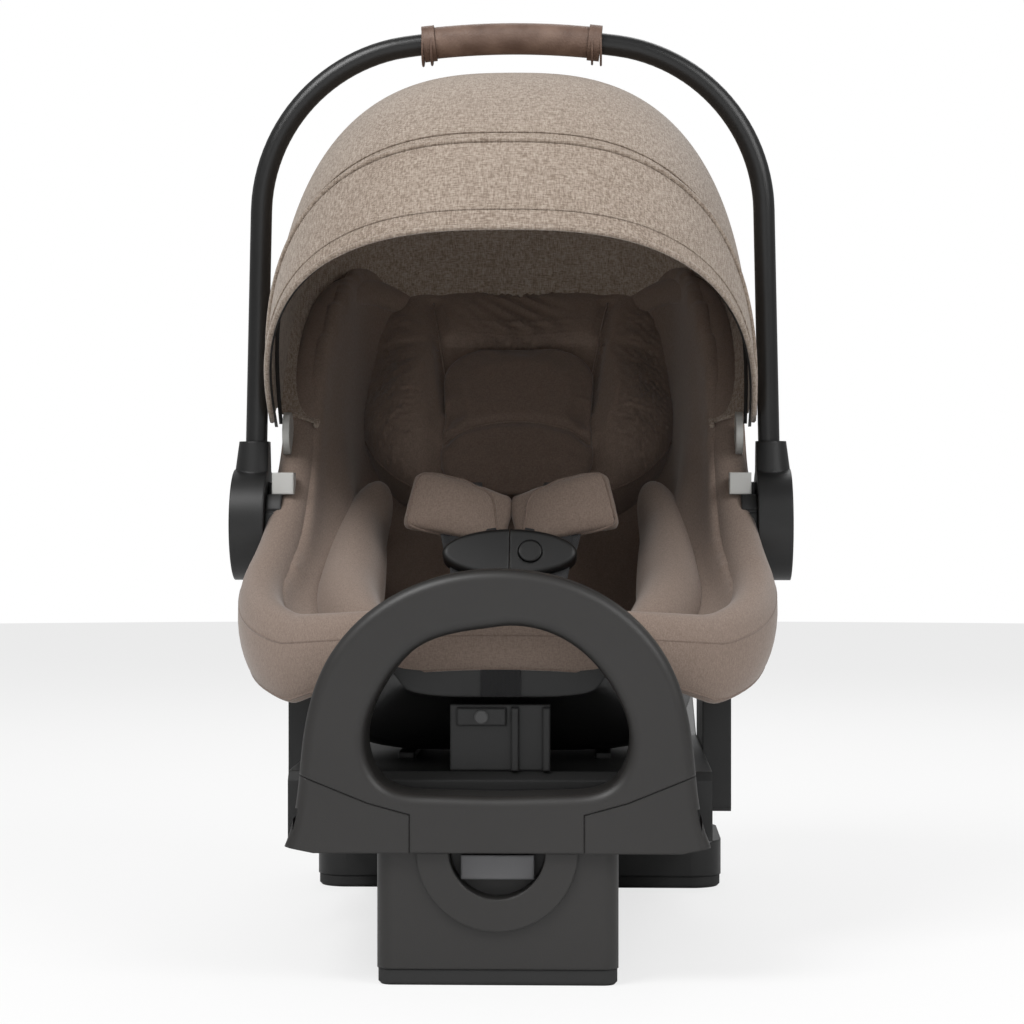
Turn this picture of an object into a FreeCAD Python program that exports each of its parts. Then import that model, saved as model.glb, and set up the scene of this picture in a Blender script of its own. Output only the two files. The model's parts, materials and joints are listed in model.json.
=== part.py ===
"""Infant car seat on its vehicle base.

Frame: millimetres, +Z up, the origin on the floor under the middle of the object, the child's
feet and the anti-rebound arch towards -Y, +X to the right for someone who looks at the arch.
"""
import FreeCAD, Part
import math
import os
import Sketcher
from FreeCAD import Placement, Rotation, Vector

doc = FreeCAD.newDocument("infant_car_seat")

# ---------------------------------------------------------------- driving dimensions, mm
SIZES = {
    # handle and its hubs
    "hub_height": 312, "hub_face": 193, "socket_depth": 27, "socket_radius": 44,
    "handle_rise": 385.5, "handle_half": 204, "handle_lean": 1.2, "leg_start": 34,
    "tube_radius": 8.5, "tube_wall": 1.6, "corner_radius": 135, "top_radius": 600,
    "grip_length": 141, "grip_radius": 12.4, "band_width": 10, "band_radius": 14.2,
    "neck_top": 66, "neck_radius": 13, "boss_radius": 34, "boss_face": 180.3,
    "pin_radius": 7, "pin_clearance": 0.08, "gear_radius": 26, "gear_depth": 6,
    "button_size": 17, "button_travel": 4,
    # canopy
    "canopy_y": 20, "canopy_z": 385, "canopy_half": 190, "canopy_reach": 291,
    "canopy_rear_reach": 274, "canopy_skin": 2.4, "canopy_start": 24, "bow_angle": 45,
    "brim_angle": 62, "rear_angle": -50, "bow_section": 5, "visor_gap": 0.8, "bow_gap": 0.8,
    "mount_radius": 17, "mount_depth": 5.6,
    # carrier shell and the soft goods in it
    "shell_wall": 3.6, "shell_half": 188, "shell_waist": 177, "shell_head_half": 148,
    "shell_foot": -252, "shell_head": 292, "shell_floor": 146, "rim_foot": 221, "rim_hub": 300,
    "rim_wing": 506, "rim_head": 530, "soft_gap": 0.4, "cover_side": 17, "cover_floor": 34,
    "cover_proud": 7, "pillow_thick": 46, "pillow_width": 250, "pillow_length": 250,
    "pillow_place": 208, "pillow_centre_width": 132, "pillow_centre_length": 165,
    "pillow_centre_place": 158, "pillow_centre_thick": 16,
    "bolster_width": 52, "webbing_width": 38, "webbing_thick": 1.6,
    "clip_width": 104, "clip_height": 40, "clip_thick": 14, "clip_button_radius": 9,
    "buckle_width": 62, "buckle_height": 56, "buckle_thick": 24, "lever_width": 120,
    # vehicle base
    "base_half": 148, "base_front": -270, "base_rear": 325, "base_deck": 141, "base_wall": 4,
    "tower_depth": 22, "tower_height": 232, "tower_length": 132, "rear_half": 174,
    "rear_length": 150, "rear_height": 40, "band_height": 10, "arch_front": -325,
    "arch_depth": 46, "arch_top": 283, "arch_half": 145, "arch_foot": 91, "arch_round": 8, "window_half": 90,
    "window_top": 244, "window_bottom": 129, "apron_half": 59, "fascia_thick": 3.4,
    "foot_half": 82.5, "foot_front": -317, "foot_depth": 94, "foot_height": 92, "foot_wall": 4,
    "foot_travel": 26, "sole_height": 11, "collar_radius": 55, "recess_radius": 33,
    "running_gap": 0.5,
}

sheet = doc.addObject("Spreadsheet::Sheet", "sizes")
for row, (alias, value) in enumerate(SIZES.items(), start=1):
    cell = "A%d" % row
    sheet.set(cell, str(value))
    sheet.setAlias(cell, alias)
doc.recompute()


def size(alias):
    """Value of one driving dimension, read from the sheet."""
    return float(sheet.get(alias))


NODES = []


def keep(obj, label):
    """Mark a document object as a sub-part and name it."""
    obj.Label = label
    NODES.append(obj)
    return obj


def bind(obj, **expressions):
    """Bind properties of an object to expressions that read the sheet."""
    for name, text in expressions.items():
        obj.setExpression(name.replace("_at_", "."), text)
    return obj


def feature(label, shape):
    """A sub-part whose solid is worked out with Part's own functions."""
    obj = doc.addObject("Part::Feature", label)
    obj.Shape = shape
    return keep(obj, label)


def helper(name, shape):
    """A construction shape that a boolean of the document reads."""
    obj = doc.addObject("Part::Feature", name)
    obj.Shape = shape
    return obj


def named_box(name, length, width, height, x, y, z):
    """Part::Box with its size and corner bound to the sheet."""
    obj = doc.addObject("Part::Box", name)
    bind(obj, Length=length, Width=width, Height=height)
    obj.setExpression("Placement.Base.x", x)
    obj.setExpression("Placement.Base.y", y)
    obj.setExpression("Placement.Base.z", z)
    return obj


def along_x(obj, x, y, z):
    """Turn a cylinder's axis to +X and bind its base point."""
    obj.Placement = Placement(Vector(0, 0, 0), Rotation(Vector(0, 1, 0), 90))
    obj.setExpression("Placement.Base.x", x)
    obj.setExpression("Placement.Base.y", y)
    obj.setExpression("Placement.Base.z", z)
    return obj


def named_cylinder(name, radius, height):
    """Part::Cylinder with its radius and length bound to the sheet."""
    obj = doc.addObject("Part::Cylinder", name)
    return bind(obj, Radius=radius, Height=height)


def boolean(kind, name, base, tool):
    """Part::Cut, Part::Fuse or Part::Common of two document objects."""
    obj = doc.addObject("Part::" + kind, name)
    obj.Base = base
    obj.Tool = tool
    return obj


def origin_plane(body, role):
    """One origin plane of a PartDesign body."""
    return next(f for f in body.Origin.OriginFeatures if f.Role == role)


def add_sketch(body, name, role, offset=None):
    """Sketch on an origin plane of its own body, moved along the plane's normal."""
    sketch = body.newObject("Sketcher::SketchObject", name)
    sketch.AttachmentSupport = (origin_plane(body, role), [""])
    sketch.MapMode = "FlatFace"
    if offset:
        sketch.setExpression("AttachmentOffset.Base.z", offset)
    return sketch


def add_rectangle(sketch, left, bottom, right, top):
    """Closed rectangle whose four sides are bound to expressions."""
    corners = [Vector(0, 0, 0), Vector(9, 0, 0), Vector(9, 9, 0), Vector(0, 9, 0)]
    first = sketch.GeometryCount
    for i in range(4):
        sketch.addGeometry(Part.LineSegment(corners[i], corners[(i + 1) % 4]), False)
    for i in range(4):
        here, after = first + i, first + (i + 1) % 4
        sketch.addConstraint(Sketcher.Constraint("Coincident", here, 2, after, 1))
    for i in (0, 2):
        sketch.addConstraint(Sketcher.Constraint("Horizontal", first + i))
        sketch.addConstraint(Sketcher.Constraint("Vertical", first + i + 1))
    sides = (("DistanceX", first, 1, left), ("DistanceY", first, 1, bottom),
             ("DistanceX", first + 2, 1, right), ("DistanceY", first + 2, 1, top))
    for kind, line, point, text in sides:
        index = sketch.addConstraint(Sketcher.Constraint(kind, -1, 1, line, point, 9.0))
        sketch.setExpression("Constraints[%d]" % index, text)
    return sketch


def add_circle(sketch, radius, x, y):
    """Circle bound to expressions for its radius and centre."""
    line = sketch.addGeometry(Part.Circle(Vector(5, 5, 0), Vector(0, 0, 1), 5), False)
    sizes = (("Radius", (line, 5.0), radius), ("DistanceX", (-1, 1, line, 3, 5.0), x),
             ("DistanceY", (-1, 1, line, 3, 5.0), y))
    for kind, where, text in sizes:
        index = sketch.addConstraint(Sketcher.Constraint(kind, *where))
        sketch.setExpression("Constraints[%d]" % index, text)
    return sketch


def add_pad(body, sketch, length, both=False, away=False):
    """Pad of a sketch, on one side or on both sides of its plane."""
    pad = body.newObject("PartDesign::Pad", body.Name + "_pad")
    pad.Profile = sketch
    pad.Midplane = both
    pad.Reversed = away
    pad.setExpression("Length", length)
    sketch.Visibility = False
    return pad


def add_pocket(body, sketch, length, both=False, away=False):
    """Pocket of a sketch, which has to take some of the solid away."""
    doc.recompute()
    before = body.Shape.Volume
    pocket = body.newObject("PartDesign::Pocket", body.Name + "_pocket")
    pocket.Profile = sketch
    pocket.Midplane = both
    pocket.Reversed = away
    pocket.setExpression("Length", length)
    doc.recompute()
    if body.Shape.Volume > before - 1:
        raise ValueError("%s: the pocket cuts nothing" % body.Name)
    return pocket


def dress(body, kind, edges, amount):
    """Fillet or Chamfer of the body's tip on the edges that a test picks."""
    doc.recompute()
    tip = body.Tip
    names = ["Edge%d" % (i + 1) for i, edge in enumerate(tip.Shape.Edges) if edges(edge)]
    obj = body.newObject("PartDesign::" + kind, body.Name + "_" + kind.lower())
    obj.Base = (tip, names)
    obj.setExpression("Radius" if kind == "Fillet" else "Size", amount)
    doc.recompute()
    return obj


def smooth_line(*points):
    """Function through a few named points, smooth and free of overshoot."""
    def tangent(i):
        if i in (0, len(points) - 1):
            return 0.0 if len(points) > 2 else slope(0)
        before, after = slope(i - 1), slope(i)
        return 0.0 if before * after <= 0 else 2 * before * after / (before + after)

    def slope(i):
        (x0, y0), (x1, y1) = points[i], points[i + 1]
        return (y1 - y0) / (x1 - x0)

    def value(x):
        x = min(max(x, points[0][0]), points[-1][0])
        i = max(k for k in range(len(points) - 1) if points[k][0] <= x or k == 0)
        (x0, y0), (x1, y1) = points[i], points[i + 1]
        width = x1 - x0
        s = (x - x0) / width
        rise = (1 + 2 * s) * (1 - s) ** 2 * y0 + s * s * (3 - 2 * s) * y1
        return rise + width * (s * (1 - s) ** 2 * tangent(i) - s * s * (1 - s) * tangent(i + 1))
    return value


def spline_wire(points, closed=False):
    """Wire of one smooth curve through the points."""
    curve = Part.BSplineCurve()
    curve.interpolate(Points=points, PeriodicFlag=closed)
    return Part.Wire([curve.toShape()])


# ---------------------------------------------------------------- carrier shell
HUB_Z = size("hub_height")
FOOT_Y, HEAD_Y = size("shell_foot"), size("shell_head")
HALF, WAIST, FLOOR = size("shell_half"), size("shell_waist"), size("shell_floor")
WALL, GAP = size("shell_wall"), size("soft_gap")

rim_height = smooth_line(
    (FOOT_Y, size("rim_foot")), (-120, 256), (-40, size("rim_hub")), (20, 358), (100, 458),
    (160, size("rim_wing")), (220, size("rim_head")), (HEAD_Y, size("rim_head") - 34))
half_width = smooth_line(
    (FOOT_Y, HALF * 0.52), (-205, HALF * 0.86), (-120, HALF), (-45, WAIST), (100, WAIST - 2),
    (160, size("shell_head_half") + 16), (220, size("shell_head_half")), (HEAD_Y, HALF * 0.46))
floor_height = smooth_line(
    (FOOT_Y, FLOOR + 46), (-200, FLOOR + 9), (-120, FLOOR), (-30, FLOOR), (90, FLOOR + 54),
    (160, FLOOR + 130), (220, FLOOR + 208), (HEAD_Y, FLOOR + 316))
STATIONS = [FOOT_Y, -232, -190, -120, -45, 20, 90, 160, 220, 262, HEAD_Y]
# share of the depth below the rim, share of the half width at the seat and at the head
TUB = ((0, 1.0, 1.0), (0.13, 0.965, 0.99), (0.3, 0.83, 0.97), (0.52, 0.75, 0.94),
       (0.78, 0.69, 0.88), (0.94, 0.55, 0.7), (1, 0.3, 0.4))
head_share = smooth_line((20, 0.0), (140, 1.0))


def tub_section(y, inset, lift, top):
    """Closed cross-section of the tub at y, moved in from the sides and up from the floor."""
    half, low, high = half_width(y) - inset, floor_height(y) + lift, rim_height(y)
    boxy = head_share(y)
    left = [Vector(-half * (seat + (head - seat) * boxy), y, high - (high - low) * depth)
            for depth, seat, head in TUB]
    right = [Vector(-p.x, p.y, p.z) for p in reversed(left)]
    bowl = left + [Vector(0, y, low)] + right
    curve = Part.BSplineCurve()
    curve.interpolate(Points=bowl)
    sides = [curve.toShape()]
    corners = [bowl[-1], bowl[-1] + Vector(0, 0, top), bowl[0] + Vector(0, 0, top), bowl[0]]
    sides += [Part.LineSegment(a, b).toShape() for a, b in zip(corners, corners[1:])]
    return Part.Wire(sides)


def tub_solid(inset, lift, top, shorten):
    """Solid tub through all stations, with its two ends pulled in."""
    low, high = STATIONS[0] + shorten, STATIONS[-1] - shorten
    stations = [low] + [y for y in STATIONS if low + 8 < y < high - 8] + [high]
    return Part.makeLoft([tub_section(y, inset, lift, top) for y in stations], True, False)


shell_outer = tub_solid(0, 0, 1, 0)
shell_inner = tub_solid(WALL, WALL, 60, WALL)
feature("carrier_shell", shell_outer.cut(shell_inner))

side = WALL + GAP
cover_outer = tub_solid(side, side, size("cover_proud"), side)
thick_side, thick_floor = side + size("cover_side"), side + size("cover_floor")
cover_inner = tub_solid(thick_side, thick_floor, 60, thick_side)
feature("seat_cover", cover_outer.cut(cover_inner))

# recline of the seat's back, from the upright
BACK_TILT = math.degrees(math.atan2(220 - 90, floor_height(220) - floor_height(90)))
BACK_TURN = Rotation(Vector(1, 0, 0), -BACK_TILT)


def back_point(along, out, x=0.0):
    """Point on the seat's back: along it from the bight, out from the cover's surface."""
    tilt = math.radians(BACK_TILT)
    start = Vector(x, 90, floor_height(90) + side + size("cover_floor") * 1.25)
    up = Vector(0, math.sin(tilt), math.cos(tilt))
    normal = Vector(0, -math.cos(tilt), math.sin(tilt))
    return start + up * along + normal * out


seat_room = tub_solid(thick_side + GAP, thick_floor + GAP, 60, thick_side + GAP)


def cushion(label, length, width, thick, place, corner=0.3, taken=None):
    """Plain pad: a rounded rectangle with rounded edges, its face towards -Y before placing."""
    radius = min(width, length) * corner
    block = Part.makeBox(width, thick, length, Vector(-width / 2, -thick, -length / 2))
    upright = [e for e in block.Edges if abs(e.Vertexes[0].Y - e.Vertexes[1].Y) > thick / 2]
    pad = block.makeFillet(radius, upright)
    front = [e for e in pad.Edges if e.BoundBox.YMax < -thick + 0.01]
    pad = pad.makeFillet(thick * 0.45, front)
    pad.Placement = place
    pad = pad.common(seat_room)
    return feature(label, pad.cut(taken) if taken else pad)


pillow_depth = size("pillow_thick") + 14
pillow_face = pillow_depth - 8
centre_long, centre_wide = size("pillow_centre_length"), size("pillow_centre_width")
centre_sink = size("pillow_centre_thick") - 6
centre_seat = Part.makeBox(centre_wide + 2 * GAP, 40, centre_long + 2 * GAP,
                           Vector(-centre_wide / 2 - GAP, -40, -centre_long / 2 - GAP))
centre_seat.Placement = Placement(back_point(size("pillow_centre_place"), pillow_face - centre_sink),
                                  BACK_TURN)
cushion("head_pillow", size("pillow_length"), size("pillow_width"), pillow_depth,
        Placement(back_point(size("pillow_place"), -8), BACK_TURN), 0.38, centre_seat)
cushion("pillow_centre", centre_long, centre_wide, size("pillow_centre_thick"),
        Placement(back_point(size("pillow_centre_place"), pillow_face - centre_sink + GAP), BACK_TURN),
        0.3)

SEAT_TOP = FLOOR + side + size("cover_floor")
FLAT = Rotation(Vector(1, 0, 0), -90)
insert_half = 60
strap_slot = Part.makeBox(size("webbing_width") + 1.2, 18, 60,
                          Vector(-size("webbing_width") / 2 - 0.6, -117, SEAT_TOP - 5))
insert_room = Part.makeBox(2 * insert_half + 2 * GAP, 400, 100,
                           Vector(-insert_half - GAP, -300, SEAT_TOP - 10))
cushion("seat_insert", 150, 2 * insert_half, 18, Placement(Vector(0, -100, SEAT_TOP - 2), FLAT),
        0.25, strap_slot)
for name, sign in (("left", -1), ("right", 1)):
    lean = Rotation(Vector(0, 1, 0), -sign * 30)
    width = size("bolster_width")
    place = Placement(Vector(sign * (insert_half + 3 + width / 2), -88, SEAT_TOP + 4), lean.multiply(FLAT))
    cushion("bolster_" + name, 150, width, 26, place, 0.4, insert_room)

# ---------------------------------------------------------------- harness
BELT_TILT = Rotation(Vector(1, 0, 0), -24)
pad_at = Vector(41, -22, 322)
for name, sign in (("left", -1), ("right", 1)):
    turn = Rotation(Vector(0, 1, 0), sign * 10).multiply(BELT_TILT)
    pad = Part.makeBox(76, 15, 44, Vector(-38, -15, -22))
    pad = pad.makeFillet(6, pad.Edges)
    obj = feature("shoulder_pad_" + name, pad)
    obj.Placement = Placement(Vector(sign * pad_at.x, pad_at.y, pad_at.z), turn)
    belt = Part.makeBox(size("webbing_width"), size("webbing_thick"), 26,
                        Vector(-size("webbing_width") / 2 - sign * 8, -8.4, -48.4))
    obj = feature("harness_" + name, belt)
    obj.Placement = Placement(Vector(sign * pad_at.x, pad_at.y, pad_at.z), turn)
half_clip = size("clip_width") / 2
clip_place = Vector(0, pad_at.y - 28.4, pad_at.z - 36)
for name, sign in (("left", -1), ("right", 1)):
    ellipse = Part.Ellipse(Vector(0, 0, 0), half_clip, size("clip_height") / 2)
    face = Part.Face(Part.Wire([ellipse.toShape()]))
    block = face.extrude(Vector(0, 0, size("clip_thick")))
    rounded = block.makeFillet(4, block.Edges[:1] + block.Edges[2:3])
    low = 0.3 if sign > 0 else -half_clip - 1
    keep_box = Part.makeBox(half_clip + 0.7, 200, 100, Vector(low, -100, -50))
    half = rounded.common(keep_box)
    if sign > 0:
        hole = Part.makeCylinder(size("clip_button_radius") + 0.5, 9, Vector(16, 0, 6))
        half = half.cut(hole)
    obj = feature("chest_clip_" + name, half)
    obj.Placement = Placement(clip_place, Rotation(Vector(1, 0, 0), 66))
button = Part.makeCylinder(size("clip_button_radius"), 5.5, Vector(0, 0, 0))
obj = feature("chest_clip_button", button.makeFillet(1.2, button.Edges[:1]))
turn = Rotation(Vector(1, 0, 0), 66)
obj.Placement = Placement(clip_place + turn.multVec(Vector(16, 0, 10.2)), turn)

BUCKLE_TURN = Rotation(Vector(1, 0, 0), -20)
buckle_at = Vector(0, -104, SEAT_TOP + 24)
depth, tall, wide = size("buckle_thick"), size("buckle_height"), size("buckle_width")
block = Part.makeBox(wide, depth, tall, Vector(-wide / 2, -depth / 2, 0))
block = block.makeFillet(7, [e for e in block.Edges if e.BoundBox.ZLength < 1])
slot = Part.makeBox(26.6, 10, 28.6, Vector(-13.3, -depth / 2 - 1, 14.7))
obj = feature("harness_buckle", block.cut(slot))
obj.Placement = Placement(buckle_at, BUCKLE_TURN)
press = Part.makeBox(26, 6, 28, Vector(-13, -depth / 2 - 1.6, 15))
obj = feature("buckle_button", press.makeFillet(2, [e for e in press.Edges
                                                    if e.BoundBox.YLength > 5]))
obj.Placement = Placement(buckle_at, BUCKLE_TURN)
tongues = [Part.makeBox(22, 2.4, 16, Vector(x, -1.2, tall + 0.3)) for x in (-24, 2)]
obj = feature("buckle_tongues", Part.makeCompound(tongues))
obj.Placement = Placement(buckle_at, BUCKLE_TURN)
strap = Part.makeBox(size("webbing_width"), 2, 16, Vector(-size("webbing_width") / 2, -1, -16.3))
obj = feature("crotch_strap", strap)
obj.Placement = Placement(buckle_at, BUCKLE_TURN)
# adjuster strap: over the front lip and down outside the shell
lip_top = rim_height(FOOT_Y) + size("cover_proud")
adjust_half = 14
lip_back = FOOT_Y + thick_side
strap = Part.makeBox(2 * adjust_half, thick_side + 5.4, 1.8,
                     Vector(-adjust_half, FOOT_Y - 3, lip_top + 1.4))
drop = Part.makeBox(2 * adjust_half, 1.8, 38, Vector(-adjust_half, FOOT_Y - 3, lip_top - 35.6))
rise = Part.makeBox(2 * adjust_half, 1.8, 12, Vector(-adjust_half, lip_back + 0.6, lip_top - 9.6))
feature("adjuster_strap", strap.fuse(drop).fuse(rise).removeSplitter())
adjuster_place = Placement(Vector(0, lip_back + 3.2, lip_top - 7), Rotation(Vector(1, 0, 0), -26))
case = Part.makeBox(48, 34, 10, Vector(-24, 0, 0)).cut(
    Part.makeBox(24.8, 20.8, 8, Vector(-12.4, 6.6, 4)))
obj = feature("harness_adjuster", case)
obj.Placement = adjuster_place
obj = feature("adjuster_button", Part.makeBox(24, 20, 6.5, Vector(-12, 7, 7.5)))
obj.Placement = adjuster_place


# ---------------------------------------------------------------- handle
HANDLE_TOP = HUB_Z + size("handle_rise")


def handle_path():
    """Wire of the tube's middle line: two legs, two corner arcs and the crowned top."""
    lean, corner, crown = (math.radians(size("handle_lean")), size("corner_radius"),
                           size("top_radius"))
    half, start = size("handle_half"), HUB_Z + size("leg_start")
    crown_z = HANDLE_TOP - crown
    # centre of the corner arc: inside the leg by one radius, inside the crown by one radius
    base = Vector(half - corner * math.cos(lean), 0, start - corner * math.sin(lean))
    along = Vector(-math.sin(lean), 0, math.cos(lean))
    offset = base - Vector(0, 0, crown_z)
    b, c = offset.dot(along), offset.dot(offset) - (crown - corner) ** 2
    centre = base + along * (-b + math.sqrt(b * b - c))
    leg_end = centre + Vector(math.cos(lean), 0, math.sin(lean)) * corner
    outward = (centre - Vector(0, 0, crown_z)).normalize()
    crown_end = centre + outward * corner
    half_way = (leg_end - centre + crown_end - centre).normalize() * corner + centre
    foot = Vector(half, 0, start)

    def other(p):
        return Vector(-p.x, p.y, p.z)
    edges = [Part.LineSegment(foot, leg_end), Part.Arc(leg_end, half_way, crown_end),
             Part.Arc(crown_end, Vector(0, 0, HANDLE_TOP), other(crown_end)),
             Part.Arc(other(crown_end), other(half_way), other(leg_end)),
             Part.LineSegment(other(leg_end), other(foot))]
    return Part.Wire([e.toShape() for e in edges]), foot


path, foot = handle_path()
spine = helper("handle_line", path)


def tube_sweep(name, radius):
    """Part::Sweep of a circle along the handle's line."""
    ring = doc.addObject("Part::Circle", name + "_ring")
    ring.setExpression("Radius", radius)
    ring.Placement = Placement(foot, Rotation())
    obj = doc.addObject("Part::Sweep", name)
    obj.Sections = [ring]
    obj.Spine = (spine, ["Edge%d" % (i + 1) for i in range(len(path.Edges))])
    obj.Solid = True
    obj.Frenet = False
    return obj


keep(boolean("Cut", "handle_tube_cut", tube_sweep("tube_outside", "sizes.tube_radius"),
             tube_sweep("tube_inside", "sizes.tube_radius - sizes.tube_wall")), "handle_tube")


def crown_sleeve(radius, start, end):
    """Ring solid round the tube's crown between two distances from the middle."""
    crown = size("top_radius")
    centre = Vector(0, 0, HANDLE_TOP - crown)

    def at(distance):
        angle = distance / crown
        return centre + Vector(math.sin(angle), 0, math.cos(angle)) * crown
    line = Part.Wire([Part.Arc(at(start), at((start + end) / 2), at(end)).toShape()])
    tangent = (at(start + 0.01) - at(start)).normalize()
    rings = []
    for r in (radius, size("tube_radius") + 0.05):
        circle = Part.Wire([Part.Circle(at(start), tangent, r).toShape()])
        rings.append(line.makePipeShell([circle], True, False))
    return rings[0].cut(rings[1])


grip_half, band = size("grip_length") / 2, size("band_width")
feature("grip_sleeve", crown_sleeve(size("grip_radius"), band - grip_half, grip_half - band))
bands = [crown_sleeve(size("band_radius"), s, s + band - 0.2)
         for s in (-grip_half, grip_half - band + 0.2)]
feature("grip_bands", Part.makeCompound(bands))

def both_sides(obj, label):
    """Keep a right-hand piece and its mirror image as two sub-parts."""
    keep(obj, label + "_right")
    twin = doc.addObject("Part::Mirroring", label + "_twin")
    twin.Source = obj
    twin.Normal = Vector(1, 0, 0)
    keep(twin, label + "_left")


def cut_all(name, base, tools):
    """Part::Cut of one tool after another."""
    for k, tool in enumerate(tools):
        base = boolean("Cut", "%s_cut_%d" % (name, k), base, tool)
    return base


# socket: a disc on the hub with a tapered neck round the tube's end
disc = named_cylinder("socket_disc", "sizes.socket_radius", "sizes.socket_depth")
along_x(disc, "sizes.hub_face", "0", "sizes.hub_height")
neck = doc.addObject("Part::Cone", "socket_neck")
bind(neck, Radius1="sizes.neck_radius + 9", Radius2="sizes.neck_radius", Height="sizes.neck_top")
neck.setExpression("Placement.Base.x", "sizes.handle_half")
neck.setExpression("Placement.Base.z", "sizes.hub_height")
slab = named_box("socket_slab", "sizes.socket_depth", "3 * sizes.socket_radius",
                 "4 * sizes.socket_radius", "sizes.hub_face", "-1.5 * sizes.socket_radius",
                 "sizes.hub_height - 2 * sizes.socket_radius")
socket = boolean("Fuse", "socket_body", disc, boolean("Common", "socket_flats", neck, slab))
tube_bore = named_cylinder("socket_bore", "sizes.tube_radius + 0.05", "sizes.neck_top + 10")
tube_bore.Placement.Rotation = Rotation(Vector(0, 1, 0), -size("handle_lean"))
tube_bore.setExpression("Placement.Base.x", "sizes.handle_half")
tube_bore.setExpression("Placement.Base.z", "sizes.hub_height + sizes.leg_start")
pin_hole = named_cylinder("socket_pin_hole", "sizes.pin_radius + sizes.pin_clearance", "14")
along_x(pin_hole, "sizes.hub_face - 1", "0", "sizes.hub_height")
gear_seat = named_cylinder("socket_gear_seat", "sizes.gear_radius + 0.4", "sizes.gear_depth + 1.6")
along_x(gear_seat, "sizes.hub_face - 1", "0", "sizes.hub_height")
both_sides(cut_all("socket", socket, [gear_seat, pin_hole, tube_bore]), "handle_socket")

# ribbed boss on the shell that carries the hub, and the release button that it holds
boss_depth = "sizes.hub_face - sizes.running_gap - sizes.boss_face"
boss = named_cylinder("boss_disc", "sizes.boss_radius", boss_depth)
along_x(boss, "sizes.boss_face", "0", "sizes.hub_height")
grooves = []
for k in range(9):
    angle = math.radians(-60 + 37 * k)
    place = "%s + sizes.boss_radius * %.4f - 1.2"
    grooves.append(named_box("boss_groove_%d" % k, "sizes.socket_depth", "2.4", "2.4",
                             "sizes.boss_face - 2", place % ("0", math.cos(angle)),
                             place % ("sizes.hub_height", math.sin(angle))))
button_y = "-sizes.boss_radius * 0.45 - sizes.button_size / 2"
button_z = "sizes.hub_height + sizes.boss_radius - 10"
pocket = named_box("boss_pocket", "40", "sizes.button_size + 1", "sizes.button_size + 1",
                   "sizes.boss_face - 20", button_y + " - 0.5", button_z + " - 0.5")
pin_seat = named_cylinder("boss_bore", "sizes.pin_radius - 1", "30")
along_x(pin_seat, "sizes.boss_face - 5", "0", "sizes.hub_height")
root = named_cylinder("boss_root", "sizes.boss_radius * 0.6", "40")
along_x(root, "sizes.boss_face - 39.5", "0", "sizes.hub_height")
tub = helper("boss_tub", tub_solid(-GAP, -GAP, 60, -GAP))
boss = boolean("Fuse", "boss_body", boss, boolean("Cut", "boss_root_cut", root, tub))
both_sides(cut_all("boss", boss, grooves + [pocket, pin_seat]), "hub_boss")
button = named_box("handle_button", "17", "sizes.button_size", "sizes.button_size",
                   "sizes.hub_face - sizes.running_gap - sizes.button_travel - 17.2", button_y,
                   button_z)
both_sides(button, "handle_button")

# pivot pins through the bosses, and the toothed lock rings behind the sockets
pins = []
for sign in (-1, 1):
    long_part = Part.makeCylinder(size("pin_radius"), 11.5, Vector(0, 0, 0))
    stem = Part.makeCylinder(size("pin_radius") - 1.05, 10, Vector(0, 0, -10))
    pin = long_part.fuse(stem).removeSplitter()
    pin.Placement = Placement(Vector(sign * (size("hub_face") - size("running_gap")), 0, HUB_Z),
                              Rotation(Vector(0, 1, 0), sign * 90))
    pins.append(pin)
feature("pivot_pins", Part.makeCompound(pins))
rings = []
for sign in (-1, 1):
    ring = Part.makeCylinder(size("gear_radius") - 2, size("gear_depth"))
    for k in range(12):
        tooth = Part.makeBox(5, 5, size("gear_depth"), Vector(-2.5, size("gear_radius") - 5, 0))
        tooth.rotate(Vector(0, 0, 0), Vector(0, 0, 1), 30 * k)
        ring = ring.fuse(tooth)
    ring = ring.cut(Part.makeCylinder(size("pin_radius") + 0.5, 20, Vector(0, 0, -5)))
    ring = ring.removeSplitter()
    ring.Placement = Placement(Vector(sign * (size("hub_face") + 0.3), 0, HUB_Z),
                               Rotation(Vector(0, 1, 0), sign * 90))
    rings.append(ring)
feature("lock_rings", Part.makeCompound(rings))

# ---------------------------------------------------------------- canopy
PIVOT = Vector(0, size("canopy_y"), size("canopy_z"))


def arch_points(angle, half, reach, square, start):
    """Points of one canopy arch in the plane at an angle from the upright, tails first."""
    turn = math.radians(angle)
    up = Vector(0, -math.sin(turn), math.cos(turn))
    low = math.asin((start / reach) ** (square / 2.0))
    points = []
    for k in range(15):
        t = low + (math.pi - 2 * low) * k / 14
        x = -half * math.copysign(abs(math.cos(t)) ** (2.0 / square), math.cos(t))
        points.append(PIVOT + Vector(x, 0, 0) + up * (reach * math.sin(t) ** (2.0 / square)))
    return points


def arch_section(angle, outer, thick, reach, square, start=None):
    """Closed thin section of the canopy's skin, or of a bow, at one angle."""
    start = start or size("canopy_start")
    out = arch_points(angle, outer, reach, square, start)
    inner = arch_points(angle, outer - thick, reach - thick, square, start)
    curves = [Part.BSplineCurve(), Part.BSplineCurve()]
    for curve, points in zip(curves, (out, inner)):
        curve.interpolate(Points=points)
    ends = [Part.LineSegment(inner[-1], out[-1]), Part.LineSegment(out[0], inner[0])]
    return Part.Wire([curves[0].toShape(), ends[0].toShape(), curves[1].toShape(),
                      ends[1].toShape()])


canopy_reach = smooth_line((size("rear_angle"), size("canopy_rear_reach")),
                           (-8, size("canopy_reach")), (90, size("canopy_reach")))
canopy_square = smooth_line((size("rear_angle"), 4.0), (-12, 2.8), (90, 2.7))


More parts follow.
